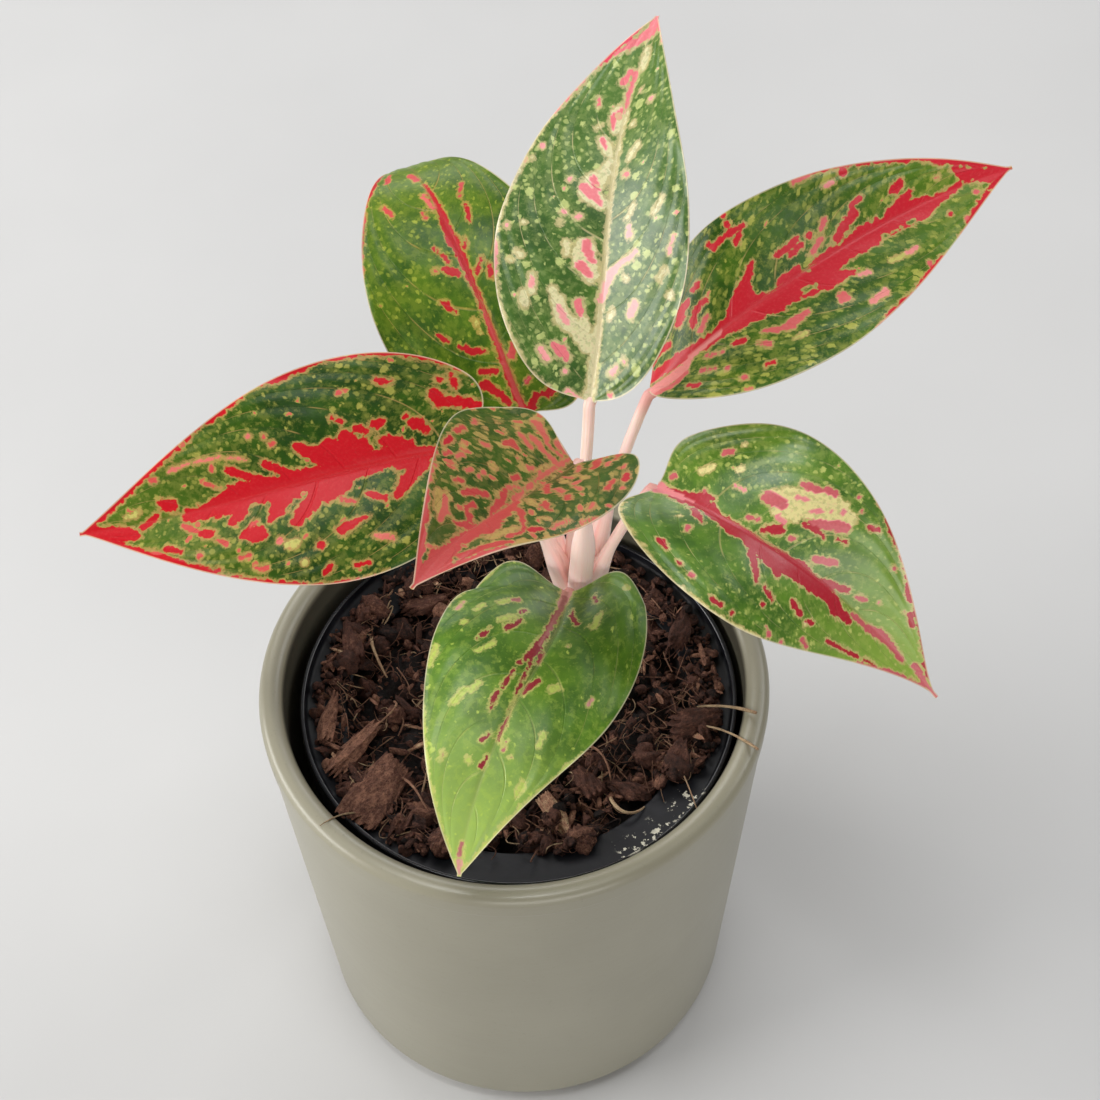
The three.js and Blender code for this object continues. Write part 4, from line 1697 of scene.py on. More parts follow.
    def bark(self) -> Piece:
        """Build the large chips that stand out of the soil, each a flaked block.

        Returns:
            The piece.
        """
        draw = np.random.default_rng(self.seed + 2)
        swarm = Swarm()
        for x, y, half, yaw, roll, pitch, tone in LARGE_CHIPS:
            deselect_all()
            bpy.ops.mesh.primitive_cube_add(size=2)
            bpy.ops.object.mode_set(mode="EDIT")
            bpy.ops.mesh.subdivide(number_cuts=9)
            bpy.ops.mesh.quads_convert_to_tris()
            block = bpy.context.object
            bpy.ops.object.mode_set(mode="OBJECT")
            places = vertex_places(block)
            faces = np.array([tuple(face.vertices) for face in block.data.polygons])
            bpy.data.objects.remove(block)
            shape = self._flaked(places, draw) * half
            turn = spun(math.radians(yaw), math.radians(roll), math.radians(pitch))
            lift = float(self.height(x, y)) + 0.45 * half[2] + 0.6
            swarm.add(shape @ turn.T + [x, y, lift], faces, tone, shape + draw.uniform(0, 90, 3))
        shapes = [self._clump(draw) for _ in range(6)]
        for i, (x, y) in enumerate(self._spots(draw, self.clumps, self.clump_reach)):
            places, faces = shapes[i % len(shapes)]
            half = draw.uniform(1.3, 3.2) * draw.uniform(0.75, 1.35, 3)
            shape = places * half
            turn = spun(*draw.uniform(0, 2 * math.pi, 3))
            place = shape @ turn.T + [x, y, float(self.height(x, y)) + draw.uniform(-0.9, 0.9)]
            tone = np.clip(draw.normal(0.34, 0.15), 0.08, 0.8)
            swarm.add(place, faces, tone, shape + draw.uniform(0, 90, 3))
        piece = swarm.make("soil_bark")
        shade_smooth(piece, 40)
        return piece

    def _clump(self, draw: np.random.Generator) -> tuple[Array, Array]:
        """Model one crumbly clump of about unit half size.

        Args:
            draw: The random numbers.

        Returns:
            Its vertices and triangles.
        """
        deselect_all()
        bpy.ops.mesh.primitive_ico_sphere_add(subdivisions=4, radius=1)
        ball = bpy.context.object
        places = vertex_places(ball)
        faces = np.array([tuple(face.vertices) for face in ball.data.polygons])
        bpy.data.objects.remove(ball)
        swell = np.ones(len(places))
        for pitch in (2, 3, 4, 6, 8, 11, 15, 20):
            wave = np.sin(places @ unit(draw.normal(size=3)) * pitch + draw.uniform(0, 6))
            swell += 0.34 / pitch**0.8 * wave
        return places * (swell * draw.normal(1, 0.025, len(places)))[:, None], faces

    def _flaked(self, places: Array, draw: np.random.Generator) -> Array:
        """Wear a cube of half size 1 into a torn block with ridges along X.

        Args:
            places: The cube's vertices.
            draw: The random numbers.

        Returns:
            The worn vertices.
        """
        out = places.copy()
        for _ in range(9):
            cut = unit(draw.normal(size=3) * [0.55, 1, 1])
            depth = draw.uniform(0.72, 1.02)
            out -= np.maximum(out @ cut - depth, 0)[:, None] * cut
        x, y, z = out.T
        out[:, 1] *= 1 - 0.4 * smooth((x + 0.4) / 1.4) * draw.uniform(0.4, 1.4)
        ridges = 0.08 * np.sin(7 * y + 3 * np.sin(2.7 * x) + draw.uniform(0, 6))
        slanted = np.sin(9 * x + 4 * y + draw.uniform(0, 6))
        ridges += 0.09 * slanted * np.sin(8 * y - 3 * x + draw.uniform(0, 6))
        ridges += 0.05 * np.sin(19 * x - 7 * y) * np.sin(17 * y + 5 * x)
        ends = smooth((np.abs(places[:, 0]) - 0.8) * 5)
        out[:, 2] += ridges * (1 - 0.5 * ends)
        out[:, 0] += ends * 0.16 * np.sin(13 * y + 7 * z + draw.uniform(0, 6)) * np.sign(x)
        return out + draw.normal(0, 0.012, out.shape)

    def fibres_piece(self) -> Piece:
        """Build the loose fibres: scattered ones, and those that reach over the lip.

        Returns:
            The piece.
        """
        draw = np.random.default_rng(self.seed + 3)
        swarm = Swarm()
        for x, y in self._spots(draw, self.fibres, self.fibre_reach):
            length = draw.uniform(2.5, 10)
            heading = draw.uniform(0, 2 * math.pi)
            ahead = np.array([math.cos(heading), math.sin(heading)]) * length
            bend = draw.normal(0, 0.42, 2) * length
            ends = np.array([[x, y], [x, y] + ahead])
            if np.hypot(*ends[1]) > self.fibre_limit:
                ends[1] *= (self.fibre_limit - 2) / np.hypot(*ends[1])
            rise = draw.uniform(0.2, 2.6)
            first, last = ends
            flat = [first, first * 0.66 + last * 0.34 + bend, first * 0.34 + last * 0.66 + bend, last]
            lifts = [draw.uniform(-0.6, 1.4), rise, rise + draw.normal(0, 0.8), draw.uniform(-0.6, 1.4)]
            points = [[*p, float(self.height(*p)) + 0.6 + h] for p, h in zip(flat, lifts)]
            self._strand(swarm, points, draw.uniform(0.08, 0.24), draw.normal(0.66, 0.22), Detail.COARSE)
        for radius, tone, points in LONG_FIBRES:
            self._strand(swarm, points, radius, tone, Detail.FINE)
        piece = swarm.make("soil_fibres")
        shade_smooth(piece, 80)
        return piece

    def _strand(self, swarm: Swarm, points: Sequence[Sequence[float]], radius: float, tone: float,
                detail: Detail) -> None:
        """Add one fibre along a cubic curve.

        Args:
            swarm: Where it goes.
            points: The curve's control points, in millimetres.
            radius: Its thickness at the start.
            tone: How light it is, 0 to 1.
            detail: How finely it is made.
        """
        rows, sides = (22, 6) if detail is Detail.FINE else (7, 4)
        share = np.linspace(0, 1, rows + 1)
        centre, direction = bezier(points, share)
        tangent = unit(direction)
        across = unit(np.cross(tangent, [0.13, 0.21, 0.97]))
        above = np.cross(tangent, across)
        thin = radius * (1 - 0.55 * share**3) * (1 + 0.12 * np.sin(9 * share))
        rings, grains = [], []
        for i in range(rows + 1):
            angle = 2 * math.pi * np.arange(sides) / sides
            ring = np.outer(np.cos(angle), across[i]) + np.outer(np.sin(angle), above[i])
            rings.append(centre[i] + thin[i] * ring)
            grains.append(np.stack([np.full(sides, 10 * share[i]), np.cos(angle), np.sin(angle)], 1))
        grain = np.concatenate(grains) + 3 * tone
        swarm.add(np.concatenate(rings), tube_faces(rows, sides), float(np.clip(tone, 0.1, 1)), grain)

    def dress(self, pieces: Sequence[Piece]) -> None:
        """Give the bed and what lies on it their finishes.

        Args:
            pieces: The bed, and then what lies on it.
        """
        finish = CoirFinish()
        bed, *loose = pieces
        dress(bed, [finish.bed("coir_bed")], "coir_soil", "soil")
        chips = finish.chips("coir_chips")
        for piece in loose:
            dress(piece, [chips], "coir_soil")


# Large chips: place, half sizes, turns about Z, about the chip and up, in degrees, and tone.
LARGE_CHIPS = (
    (-37, -28.5, (10.3, 6.2, 2.0), 59, 8, 6, 0.52),
    (-43.3, -15.7, (9.3, 3.3, 2.0), 55, -12, 4, 0.6),
    (-50, -5, (7.5, 2.5, 1.8), 80, 12, 3, 0.58),
    (-45, 20, (6, 3, 2.2), 100, 10, 5, 0.4),
    (-25, 34, (6, 3, 2.2), 20, -20, 5, 0.42),
    (48, -11, (6.5, 4, 2.6), 20, 15, 5, 0.34),
    (43, -21, (5, 3.6, 2.6), 75, -10, 5, 0.36),
    (19, -26, (4.5, 2.8, 2.2), 120, 12, 5, 0.36),
    (30, -29, (5, 3.4, 2.4), 160, 18, 5, 0.34),
    (-24, -35, (4, 3.2, 2.6), 10, -12, 5, 0.48),
    (11, -36.5, (7, 2.6, 0.8), -60, 30, 8, 0.82),
    (46, 20, (6, 3, 2.4), 80, 15, 5, 0.3),
)

# Fibres placed one by one: radius, tone and curve.
LONG_FIBRES = (
    (0.42, 1.0, ((63.6, -15, 136.8), (59, -11.5, 134.8), (54, -8.4, 131.5), (49, -6, 127))),
    (0.36, 1.0, ((63.2, -26.2, 136.6), (59, -21, 134.8), (55, -16, 131.5), (50, -12, 127))),
    (0.24, 0.95, ((42, -20, 124), (44, -26, 127), (45.5, -33, 128), (47, -38.5, 127.2))),
    (0.24, 1.0, ((-42, -36.6, 128), (-44.5, -39, 132), (-47, -42, 135.4), (-50, -45, 136))),
    (0.5, 1.0, ((24.5, -30, 122), (26, -37, 125), (30, -39, 125), (33.5, -34, 122.5))),
    (0.5, 0.95, ((-39.5, 24, 122), (-40, 20, 127), (-38, 14, 126), (-35, 10, 122))),
    (0.4, 0.85, ((-12, 22, 121), (-11, 18, 127), (-9, 12, 127), (-8, 8, 121))),
    (0.4, 0.8, ((14, -16, 122), (20, -14, 127), (25, -20, 127), (25, -26, 122))),
    (0.35, 0.8, ((-30, -24, 124), (-26, -28, 127), (-25, -33, 126), (-21, -37, 122))),
    (0.3, 0.85, ((-33, 2, 122), (-30, -2, 126), (-36, -6, 126), (-40, -10, 123))),
)


# ---- Studio ----


@dataclass
class Studio:
    """A pale floor, soft light and the camera of the photograph."""

    target: Point = (10.7, 0, 189.8)
    distance: float = 560
    elevation: float = 52.15
    tilt: float = -1.68
    lens: float = 73.82
    sensor: float = 36
    floor_size: float = 6.0
    aim: float = 0.19
    daylight: float = 0.15

    def camera(self) -> None:
        """Add the camera, looking along +Y and down."""
        rise = math.radians(self.elevation)
        x, y, z = self.target
        place = (x, y - self.distance * math.cos(rise), z + self.distance * math.sin(rise))
        lens = bpy.data.cameras.new("camera")
        lens.lens = self.lens
        lens.sensor_width = self.sensor
        lens.clip_start = 0.01
        camera = bpy.data.objects.new("camera", lens)
        camera.rotation_mode = "XYZ"
        camera.location = [c * MM for c in place]
        camera.rotation_euler = (math.pi / 2 - rise, 0, 0)
        bpy.context.collection.objects.link(camera)
        bpy.context.view_layer.update()
        camera.matrix_world = camera.matrix_world @ self._roll()
        bpy.context.scene.camera = camera

    def _roll(self) -> Matrix:
        """Return the turn about the camera's own axis."""
        return Matrix.Rotation(math.radians(self.tilt), 4, "Z")

    def light(self, name: str, azimuth: float, elevation: float, distance: float, size: tuple[float, float],
              power: float, colour: Point) -> None:
        """Add a soft box that looks at the plant.

        Args:
            name: Its name.
            azimuth: Degrees from +Y towards +X.
            elevation: Degrees above the floor.
            distance: Metres from the plant.
            size: Width and height in metres.
            power: Watts.
            colour: Its colour.
        """
        lamp = bpy.data.lights.new(name, "AREA")
        lamp.shape = "RECTANGLE"
        lamp.size, lamp.size_y = size
        lamp.energy = power
        lamp.color = colour
        box = bpy.data.objects.new(name, lamp)
        turn, rise = math.radians(azimuth), math.radians(elevation)
        flat = distance * math.cos(rise)
        box.location = (flat * math.sin(turn), flat * math.cos(turn), self.aim + distance * math.sin(rise))
        box.rotation_euler = (math.pi / 2 - rise, 0, -turn + math.pi)
        bpy.context.collection.objects.link(box)

    def world(self) -> None:
        """Fill the surroundings with pale even light."""
        world = bpy.data.worlds.new("pale_room")
        world.use_nodes = True
        background = world.node_tree.nodes["Background"]
        background.inputs["Color"].default_value = (1.0, 0.98, 0.95, 1.0)
        background.inputs["Strength"].default_value = self.daylight
        bpy.context.scene.world = world

    def floor(self) -> None:
        """Lay the pale floor."""
        deselect_all()
        bpy.ops.mesh.primitive_plane_add(size=self.floor_size)
        floor = named("floor")
        g = Graph("pale_floor")
        cloud = g.noise(g.places(), 9.0, 3.0, 0.5)
        colour = g.mix(cloud, srgb(194, 194, 194), srgb(203, 203, 203))
        floor.data.materials.append(g.finish({"Base Color": colour, "Roughness": 0.85}))

    def build(self) -> None:
        """Set the whole studio up."""
        self.camera()
        self.world()
        self.floor()
        self.light("window", -92, 19, 1.3, (1.2, 0.6), 18, (1.0, 0.985, 0.96))
        self.light("back_window", -5, 33, 1.6, (1.6, 0.6), 11, (1.0, 1.0, 1.0))
        self.light("side_window", 62, 37, 1.4, (0.8, 0.6), 5, (1.0, 1.0, 1.0))
        self.light("skylight", -140, 83, 1.5, (0.75, 0.32), 8, (0.98, 0.99, 1.0))
        self.light("front_fill", 170, 14, 1.7, (1.4, 0.8), 12, (1.0, 0.98, 0.95))
        bpy.context.scene.view_settings.view_transform = "Standard"


# ---- The leaves of this plant ----

RED, ROSE, PINK, CREAM, GREEN = Hue.RED, Hue.ROSE, Hue.PINK, Hue.CREAM, Hue.GREEN


def left_leaf() -> Blade:
    """Describe the left leaf: dark green with a broad vivid splash and a red margin.

    Returns:
        The blade.
    """
    shape = LeafShape(
        midrib=((-6, 12, 216), (-38, 5, 221), (-67, -4, 213), (-102, -6, 209)),
        face_base=(0, -0.6, 0.8), face_tip=(0, -0.5, 0.86),
        left=Outline(26.3, 0.365, 1.9), right=Outline(27.1, 0.327, 1.5),
        lobe=8, lifts=(0.25, 0.24), droop=4.9,
        stalk=((16.67, 2.33, 148), (17, -3.5, 182), (6, 8, 202), (-5.5, 12.8, 214.8)),
    )
    strokes = (
        (RED, 60, 0, 10, 130, 0, 17, 180, 0, 28, 230, 4, 26, 280, 5, 28, 340, 5, 36, 410, -5, 34,
         480, -5, 32, 550, 8, 32, 610, 5, 34, 660, -6, 24, 725, -10, 18),
        (RED, 130, -20, 10, 190, -50, 15, 235, -86, 10), (RED, 340, -30, 20, 400, -50, 15),
        (RED, 400, -30, 25, 450, -65, 20, 480, -90, 14), (RED, 490, -20, 26, 520, -50, 19, 543, -72, 6),
        (RED, 600, -30, 18, 630, -52, 10), (RED, 170, 20, 20, 220, 44, 16, 240, 52, 7),
        (RED, 280, 30, 24, 320, 80, 17), (RED, 330, 30, 34, 360, 66, 20),
        (RED, 360, 20, 28, 400, 56, 20, 434, 84, 10), (RED, 450, 10, 20, 480, 34, 13, 520, 64, 10),
        (RED, 550, 30, 18, 575, 52, 9, 606, 70, 11), (RED, 570, -95, 18, 600, -90, 18),
        (ROSE, 570, -64, 5, 590, -70, 5), (RED, 685, -66, 11, 706, -60, 9), (ROSE, 716, -50, 7, 740, -30, 7),
        (ROSE, 655, -96, 7, 670, -84, 5), (RED, 760, -90, 6, 790, -76, 9), (ROSE, 810, -84, 6, 846, -74, 7),
        (RED, 264, -86, 9, 294, -70, 9), (ROSE, 336, -78, 7, 360, -64, 6),
        (RED, 314, -120, 4, 350, -128, 9, 380, -138, 13), (RED, 440, -160, 12),
        (RED, 426, -214, 7, 442, -224, 8), (RED, 340, -230, 5, 370, -226, 6),
        (RED, 614, -204, 9, 634, -202, 7), (RED, 690, -156, 10), (PINK, 276, -184, 8, 310, -170, 7),
        (ROSE, 576, -180, 6, 600, -174, 5), (ROSE, 610, -140, 5, 630, -140, 6), (ROSE, 720, -110, 7),
        (RED, 240, 90, 13, 256, 96, 8), (RED, 268, 78, 9, 290, 92, 10), (RED, 320, 116, 5, 340, 128, 8),
        (ROSE, 640, 36, 5, 670, 56, 4), (RED, 764, 24, 16, 780, 34, 14), (RED, 806, 6, 9, 836, -12, 9),
        (RED, 860, -26, 15, 900, -14, 20, 950, 0, 15, 980, 0, 6), (RED, 125, 54, 9, 160, 78, 13),
        (RED, 180, 96, 7), (RED, 30, 100, 10, 85, 114, 10, 110, 120, 15, 130, 140, 11),
        (RED, 90, 150, 7, 100, 180, 6), (RED, 122, 170, 8), (RED, 215, 184, 6, 240, 194, 8),
        (ROSE, 490, 105, 8), (ROSE, 502, 128, 7), (PINK, 540, 137, 7), (ROSE, 316, 185, 6),
        (ROSE, 645, 86, 8), (ROSE, 790, 94, 10),
        (PINK, 560, 86, 3.5, 620, 108, 4, 700, 112, 4, 750, 104, 3.5), (CREAM, 486, -190, 9),
        (CREAM, 496, -140, 11, 516, -140, 9), (PINK, 530, -124, 9), (CREAM, 844, 26, 7, 870, 20, 5),
    )
    rims = (
        (RED, -1, 0.3, 0.48, 0.4), (RED, -1, 0.46, 0.68, 0.9), (RED, -1, 0.66, 1.0, 1.3),
        (RED, 1, 0.06, 0.34, 0.9), (RED, 1, 0.31, 0.48, 1.3), (RED, 1, 0.5, 0.64, 1.0),
        (RED, 1, 0.64, 1.0, 1.2),
    )
    crowds = ((45, -17, 14, 0.6), (72, -10, 12, 0.9), (20, 20, 9, 0.5), (66, 10, 12, 0.7), (38, 14, 7, -1.0))
    return Blade("left", shape, LeafTint(
        dark=srgb(28, 60, 6), light=srgb(60, 96, 16), tip=srgb(84, 114, 26), fleck=srgb(170, 166, 78),
        heart=srgb(210, 92, 80), pink=srgb(224, 120, 108), density=0.44, spots=0.27, hearts=0.7, haze=0.34,
        halo=0.55, gloss=0.2,
    ), strokes, rims, crowds, 1)


def top_leaf() -> Blade:
    """Describe the top leaf: paler green, with pink and cream blotches and a cream midrib.

    Returns:
        The blade.
    """
    shape = LeafShape(
        midrib=((21, 8, 236), (28, 29, 264), (23, 40, 277), (40, 85, 286)),
        face_base=(-0.35, -0.6, 0.72), face_tip=(-0.54, -0.51, 0.67),
        left=Outline(26.8, 0.39, 1.42), right=Outline(22.2, 0.416, 1.62),
        lobe=4, lifts=(0.28, 0.33), droop=2.7,
        stalk=((16.8, 1.8, 156), (17, 5, 188), (20, 2, 214), (20.9, 8, 234.6)),
    )
    strokes = (
        (CREAM, 0, -3, 12, 60, -5, 10, 120, -8, 10, 170, -6, 6, 300, -3, 3, 450, -2, 3, 620, -1, 3,
         750, 4, 4),
        (PINK, 0, -36, 12, 16, -54, 7),
        (CREAM, 120, -24, 12, 164, -54, 15, 196, -90, 18, 240, -104, 14, 270, -120, 7),
        (PINK, 180, -76, 6, 220, -100, 8), (CREAM, 140, -26, 9, 190, -40, 9),
        (ROSE, 206, -48, 8, 234, -56, 10), (PINK, 96, -114, 9, 120, -130, 7),
        (ROSE, 94, -66, 8, 114, -84, 13, 128, -102, 8), (PINK, 64, -68, 6),
        (CREAM, 224, -178, 9, 252, -188, 10), (CREAM, 260, -168, 9, 304, -170, 6),
        (PINK, 274, -169, 8, 294, -169, 6), (CREAM, 310, -30, 18, 350, -50, 30, 390, -50, 22),
        (ROSE, 308, -34, 7, 334, -58, 13), (ROSE, 348, -30, 7, 384, -48, 12, 404, -46, 8),
        (CREAM, 364, -90, 7, 396, -94, 7), (CREAM, 506, -20, 15, 534, -50, 26, 566, -46, 24, 594, -20, 12),
        (ROSE, 508, -24, 6, 534, -48, 12, 554, -70, 10), (ROSE, 546, -36, 7, 574, -46, 9),
        (PINK, 570, -102, 7), (PINK, 470, -73, 9), (CREAM, 450, -114, 5), (PINK, 480, -108, 6),
        (CREAM, 596, -26, 8, 624, -14, 8), (CREAM, 646, -18, 10, 676, -40, 12),
        (ROSE, 660, -32, 5, 680, -42, 6), (CREAM, 704, -16, 10, 750, -20, 16),
        (ROSE, 710, -22, 5, 736, -28, 7, 754, -12, 8), (ROSE, 764, -5, 6, 846, -3, 6),
        (ROSE, 824, -28, 9, 846, -16, 7), (CREAM, 710, -60, 6), (ROSE, 766, -70, 6, 778, -72, 5),
        (PINK, 654, -182, 7), (PINK, 750, -184, 5), (PINK, 434, -240, 7),
        (CREAM, 354, -200, 6, 364, -210, 5), (CREAM, 446, -200, 6), (CREAM, 624, -204, 5),
        (CREAM, 340, -226, 6), (PINK, 240, -4, 8, 290, 8, 10, 320, 19, 11, 346, 42, 7, 376, 80, 8),
        (PINK, 224, 80, 8, 252, 90, 10), (CREAM, 202, 25, 6, 220, 29, 5), (PINK, 76, 44, 6, 96, 60, 6),
        (PINK, 116, 78, 7), (ROSE, 32, 53, 6), (PINK, 420, 60, 9, 444, 60, 7), (ROSE, 585, 33, 10),
        (CREAM, 310, 60, 7), (CREAM, 628, 36, 5, 660, 56, 7), (PINK, 770, 68, 6), (CREAM, 716, 30, 7),
        (PINK, 800, 26, 5), (CREAM, 464, 50, 4, 500, 66, 5), (PINK, 376, 170, 3.5, 414, 180, 5),
        (CREAM, 320, 150, 4.5, 340, 160, 4.5), (CREAM, 284, 180, 6), (CREAM, 478, 124, 4, 520, 144, 4),
        (CREAM, 860, 12, 9, 894, 8, 9), (ROSE, 886, -66, 6, 914, -30, 9, 940, 0, 16, 970, 0, 9),
    )
    rims = (
        (PINK, -1, 0.27, 0.42, 0.9), (RED, -1, 0.84, 0.97, 0.9), (ROSE, -1, 0.7, 0.84, 0.5),
        (ROSE, 1, 0.92, 1.0, 1.2), (CREAM, -1, 0.03, 0.8, 0.3),
    )
    crowds = ((15, -15, 12, 0.8), (60, -18, 16, 0.9), (30, 8, 16, 0.6), (75, 4, 12, 0.9), (8, 3, 8, 0.8))
    tint = LeafTint(
        dark=srgb(40, 78, 12), light=srgb(70, 108, 28), tip=srgb(80, 116, 40), fleck=srgb(188, 198, 122),
        heart=srgb(226, 140, 136), red=srgb(214, 56, 84), pink=srgb(236, 160, 158), cream=srgb(214, 208, 160),
        density=0.38, spots=0.28, hearts=0.2, halo=0.7, haze=0.25, gloss=0.5, sheen=0.15,
        ruddy=0.1,
    )
    return Blade("top", shape, tint, strokes, rims, crowds, 2)


def upper_right_leaf() -> Blade:
    """Describe the upper right leaf: a long coral splash with side branches and red margins.

    Returns:
        The blade.
    """
    shape = LeafShape(
        midrib=((36, 24, 222), (58, 24, 249), (91, 47, 257), (123, 54, 263)),
        face_base=(0.11, 0.13, 0.99), face_tip=(0.01, -0.66, 0.75),
        left=Outline(23.7, 0.34, 1.63), right=Outline(23.3, 0.4, 1.8),
        lobe=0, lifts=(0.23, 0.28), droop=2.7,
        stalk=((16.7, 2.2, 150), (21, 3, 184), (28, 17, 203), (35.8, 23.2, 220.4)),
    )
    strokes = (
        (RED, 0, -30, 20, 50, -20, 16, 120, -10, 18, 200, 2, 18, 260, 2, 22, 320, 8, 30, 380, 20, 30,
         440, 26, 32, 500, 32, 36, 560, 10, 30, 620, 12, 26, 680, 10, 27, 740, 6, 30, 790, 10, 28,
         840, 6, 12, 900, -4, 8),
        (PINK, 0, 15, 20, 50, 30, 26, 110, 26, 22, 150, 6, 10, 240, 2, 5),
        (ROSE, 40, 60, 10, 80, 66, 10, 120, 50, 9),
        (RED, 290, -20, 16, 335, -36, 26, 360, -64, 14, 398, -92, 5), (RED, 430, -6, 19, 470, -10, 16),
        (RED, 460, 40, 22, 520, 52, 24, 576, 69, 7), (ROSE, 520, -26, 7, 560, -44, 7),
        (RED, 590, -24, 11, 620, -42, 12, 654, -58, 11), (RED, 630, -10, 8, 670, -20, 7),
        (RED, 720, -10, 14, 760, -24, 14, 788, -40, 7),
        (RED, 900, -44, 8, 930, -14, 18, 970, -4, 20, 1020, 0, 9), (GREEN, 460, 44, 7, 484, 47, 7),
        (GREEN, 490, -6, 7, 514, -20, 9), (GREEN, 680, 30, 5, 760, 26, 4),
        (RED, 10, -66, 12, 50, -74, 10, 100, -66, 9), (RED, 150, -88, 12, 180, -108, 16, 206, -118, 8),
        (RED, 234, -130, 7, 256, -135, 8), (RED, 186, -60, 10, 208, -84, 10, 250, -88, 8),
        (ROSE, 194, -34, 7, 230, -52, 8), (RED, 334, -194, 8, 340, -182, 9, 380, -184, 9, 430, -177, 7),
        (RED, 400, -204, 9), (RED, 404, -228, 8), (RED, 394, -156, 9, 406, -166, 9),
        (RED, 456, -68, 9, 510, -76, 8), (RED, 476, -50, 6, 514, -58, 7), (RED, 540, -66, 9),
        (ROSE, 566, -60, 5, 586, -78, 9), (RED, 654, -76, 6, 680, -79, 7), (RED, 756, -60, 11, 776, -68, 9),
        (RED, 676, -152, 11), (PINK, 626, -146, 6, 646, -142, 6), (ROSE, 574, -198, 8, 610, -188, 6),
        (ROSE, 860, -40, 6), (RED, 846, -100, 9, 880, -74, 12),
        (ROSE, 330, 76, 5, 360, 94, 8, 394, 103, 14, 436, 95, 7), (ROSE, 304, 100, 7, 324, 120, 6),
        (ROSE, 524, 113, 16, 532, 120, 10), (PINK, 574, 158, 8, 614, 155, 9), (PINK, 584, 84, 5, 606, 90, 7),
        (CREAM, 666, 92, 6, 700, 94, 5), (PINK, 710, 92, 8, 730, 91, 6), (RED, 254, 59, 7, 280, 66, 8),
        (ROSE, 184, 40, 6, 222, 60, 6), (ROSE, 160, 74, 6, 190, 92, 6), (RED, 122, 96, 6, 142, 114, 7),
        (ROSE, 216, 110, 6), (ROSE, 238, 160, 7), (RED, 294, 162, 6, 310, 168, 6), (RED, 846, 52, 7),
        (ROSE, 880, 80, 7), (ROSE, 744, 138, 8), (ROSE, 930, 26, 7), (CREAM, 380, 140, 4, 404, 144, 5),
    )
    rims = (
        (RED, -1, 0.55, 0.7, 0.6), (RED, -1, 0.64, 0.84, 0.8), (RED, -1, 0.8, 1.0, 1.3),
        (RED, 1, 0.52, 0.64, 0.9), (RED, 1, 0.63, 0.76, 0.9), (RED, 1, 0.8, 1.0, 1.3),
    )
    crowds = ((20, 12, 12, 0.8), (40, 18, 12, 0.6), (90, 4, 12, 0.9), (48, -22, 10, 0.6), (64, -12, 7, 0.6),
              (50, -14, 5, -0.8), (46, 14, 5, -0.8))
    tint = LeafTint(
        dark=srgb(36, 74, 8), light=srgb(74, 112, 18), tip=srgb(92, 128, 26), fleck=srgb(182, 182, 84),
        heart=srgb(220, 116, 96), red=srgb(206, 28, 46), pink=srgb(238, 148, 142), density=0.46, spots=0.22,
        hearts=0.3, haze=0.4, stretch=2.0,
    )
    return Blade("upper_right", shape, tint, strokes, rims, crowds, 3)


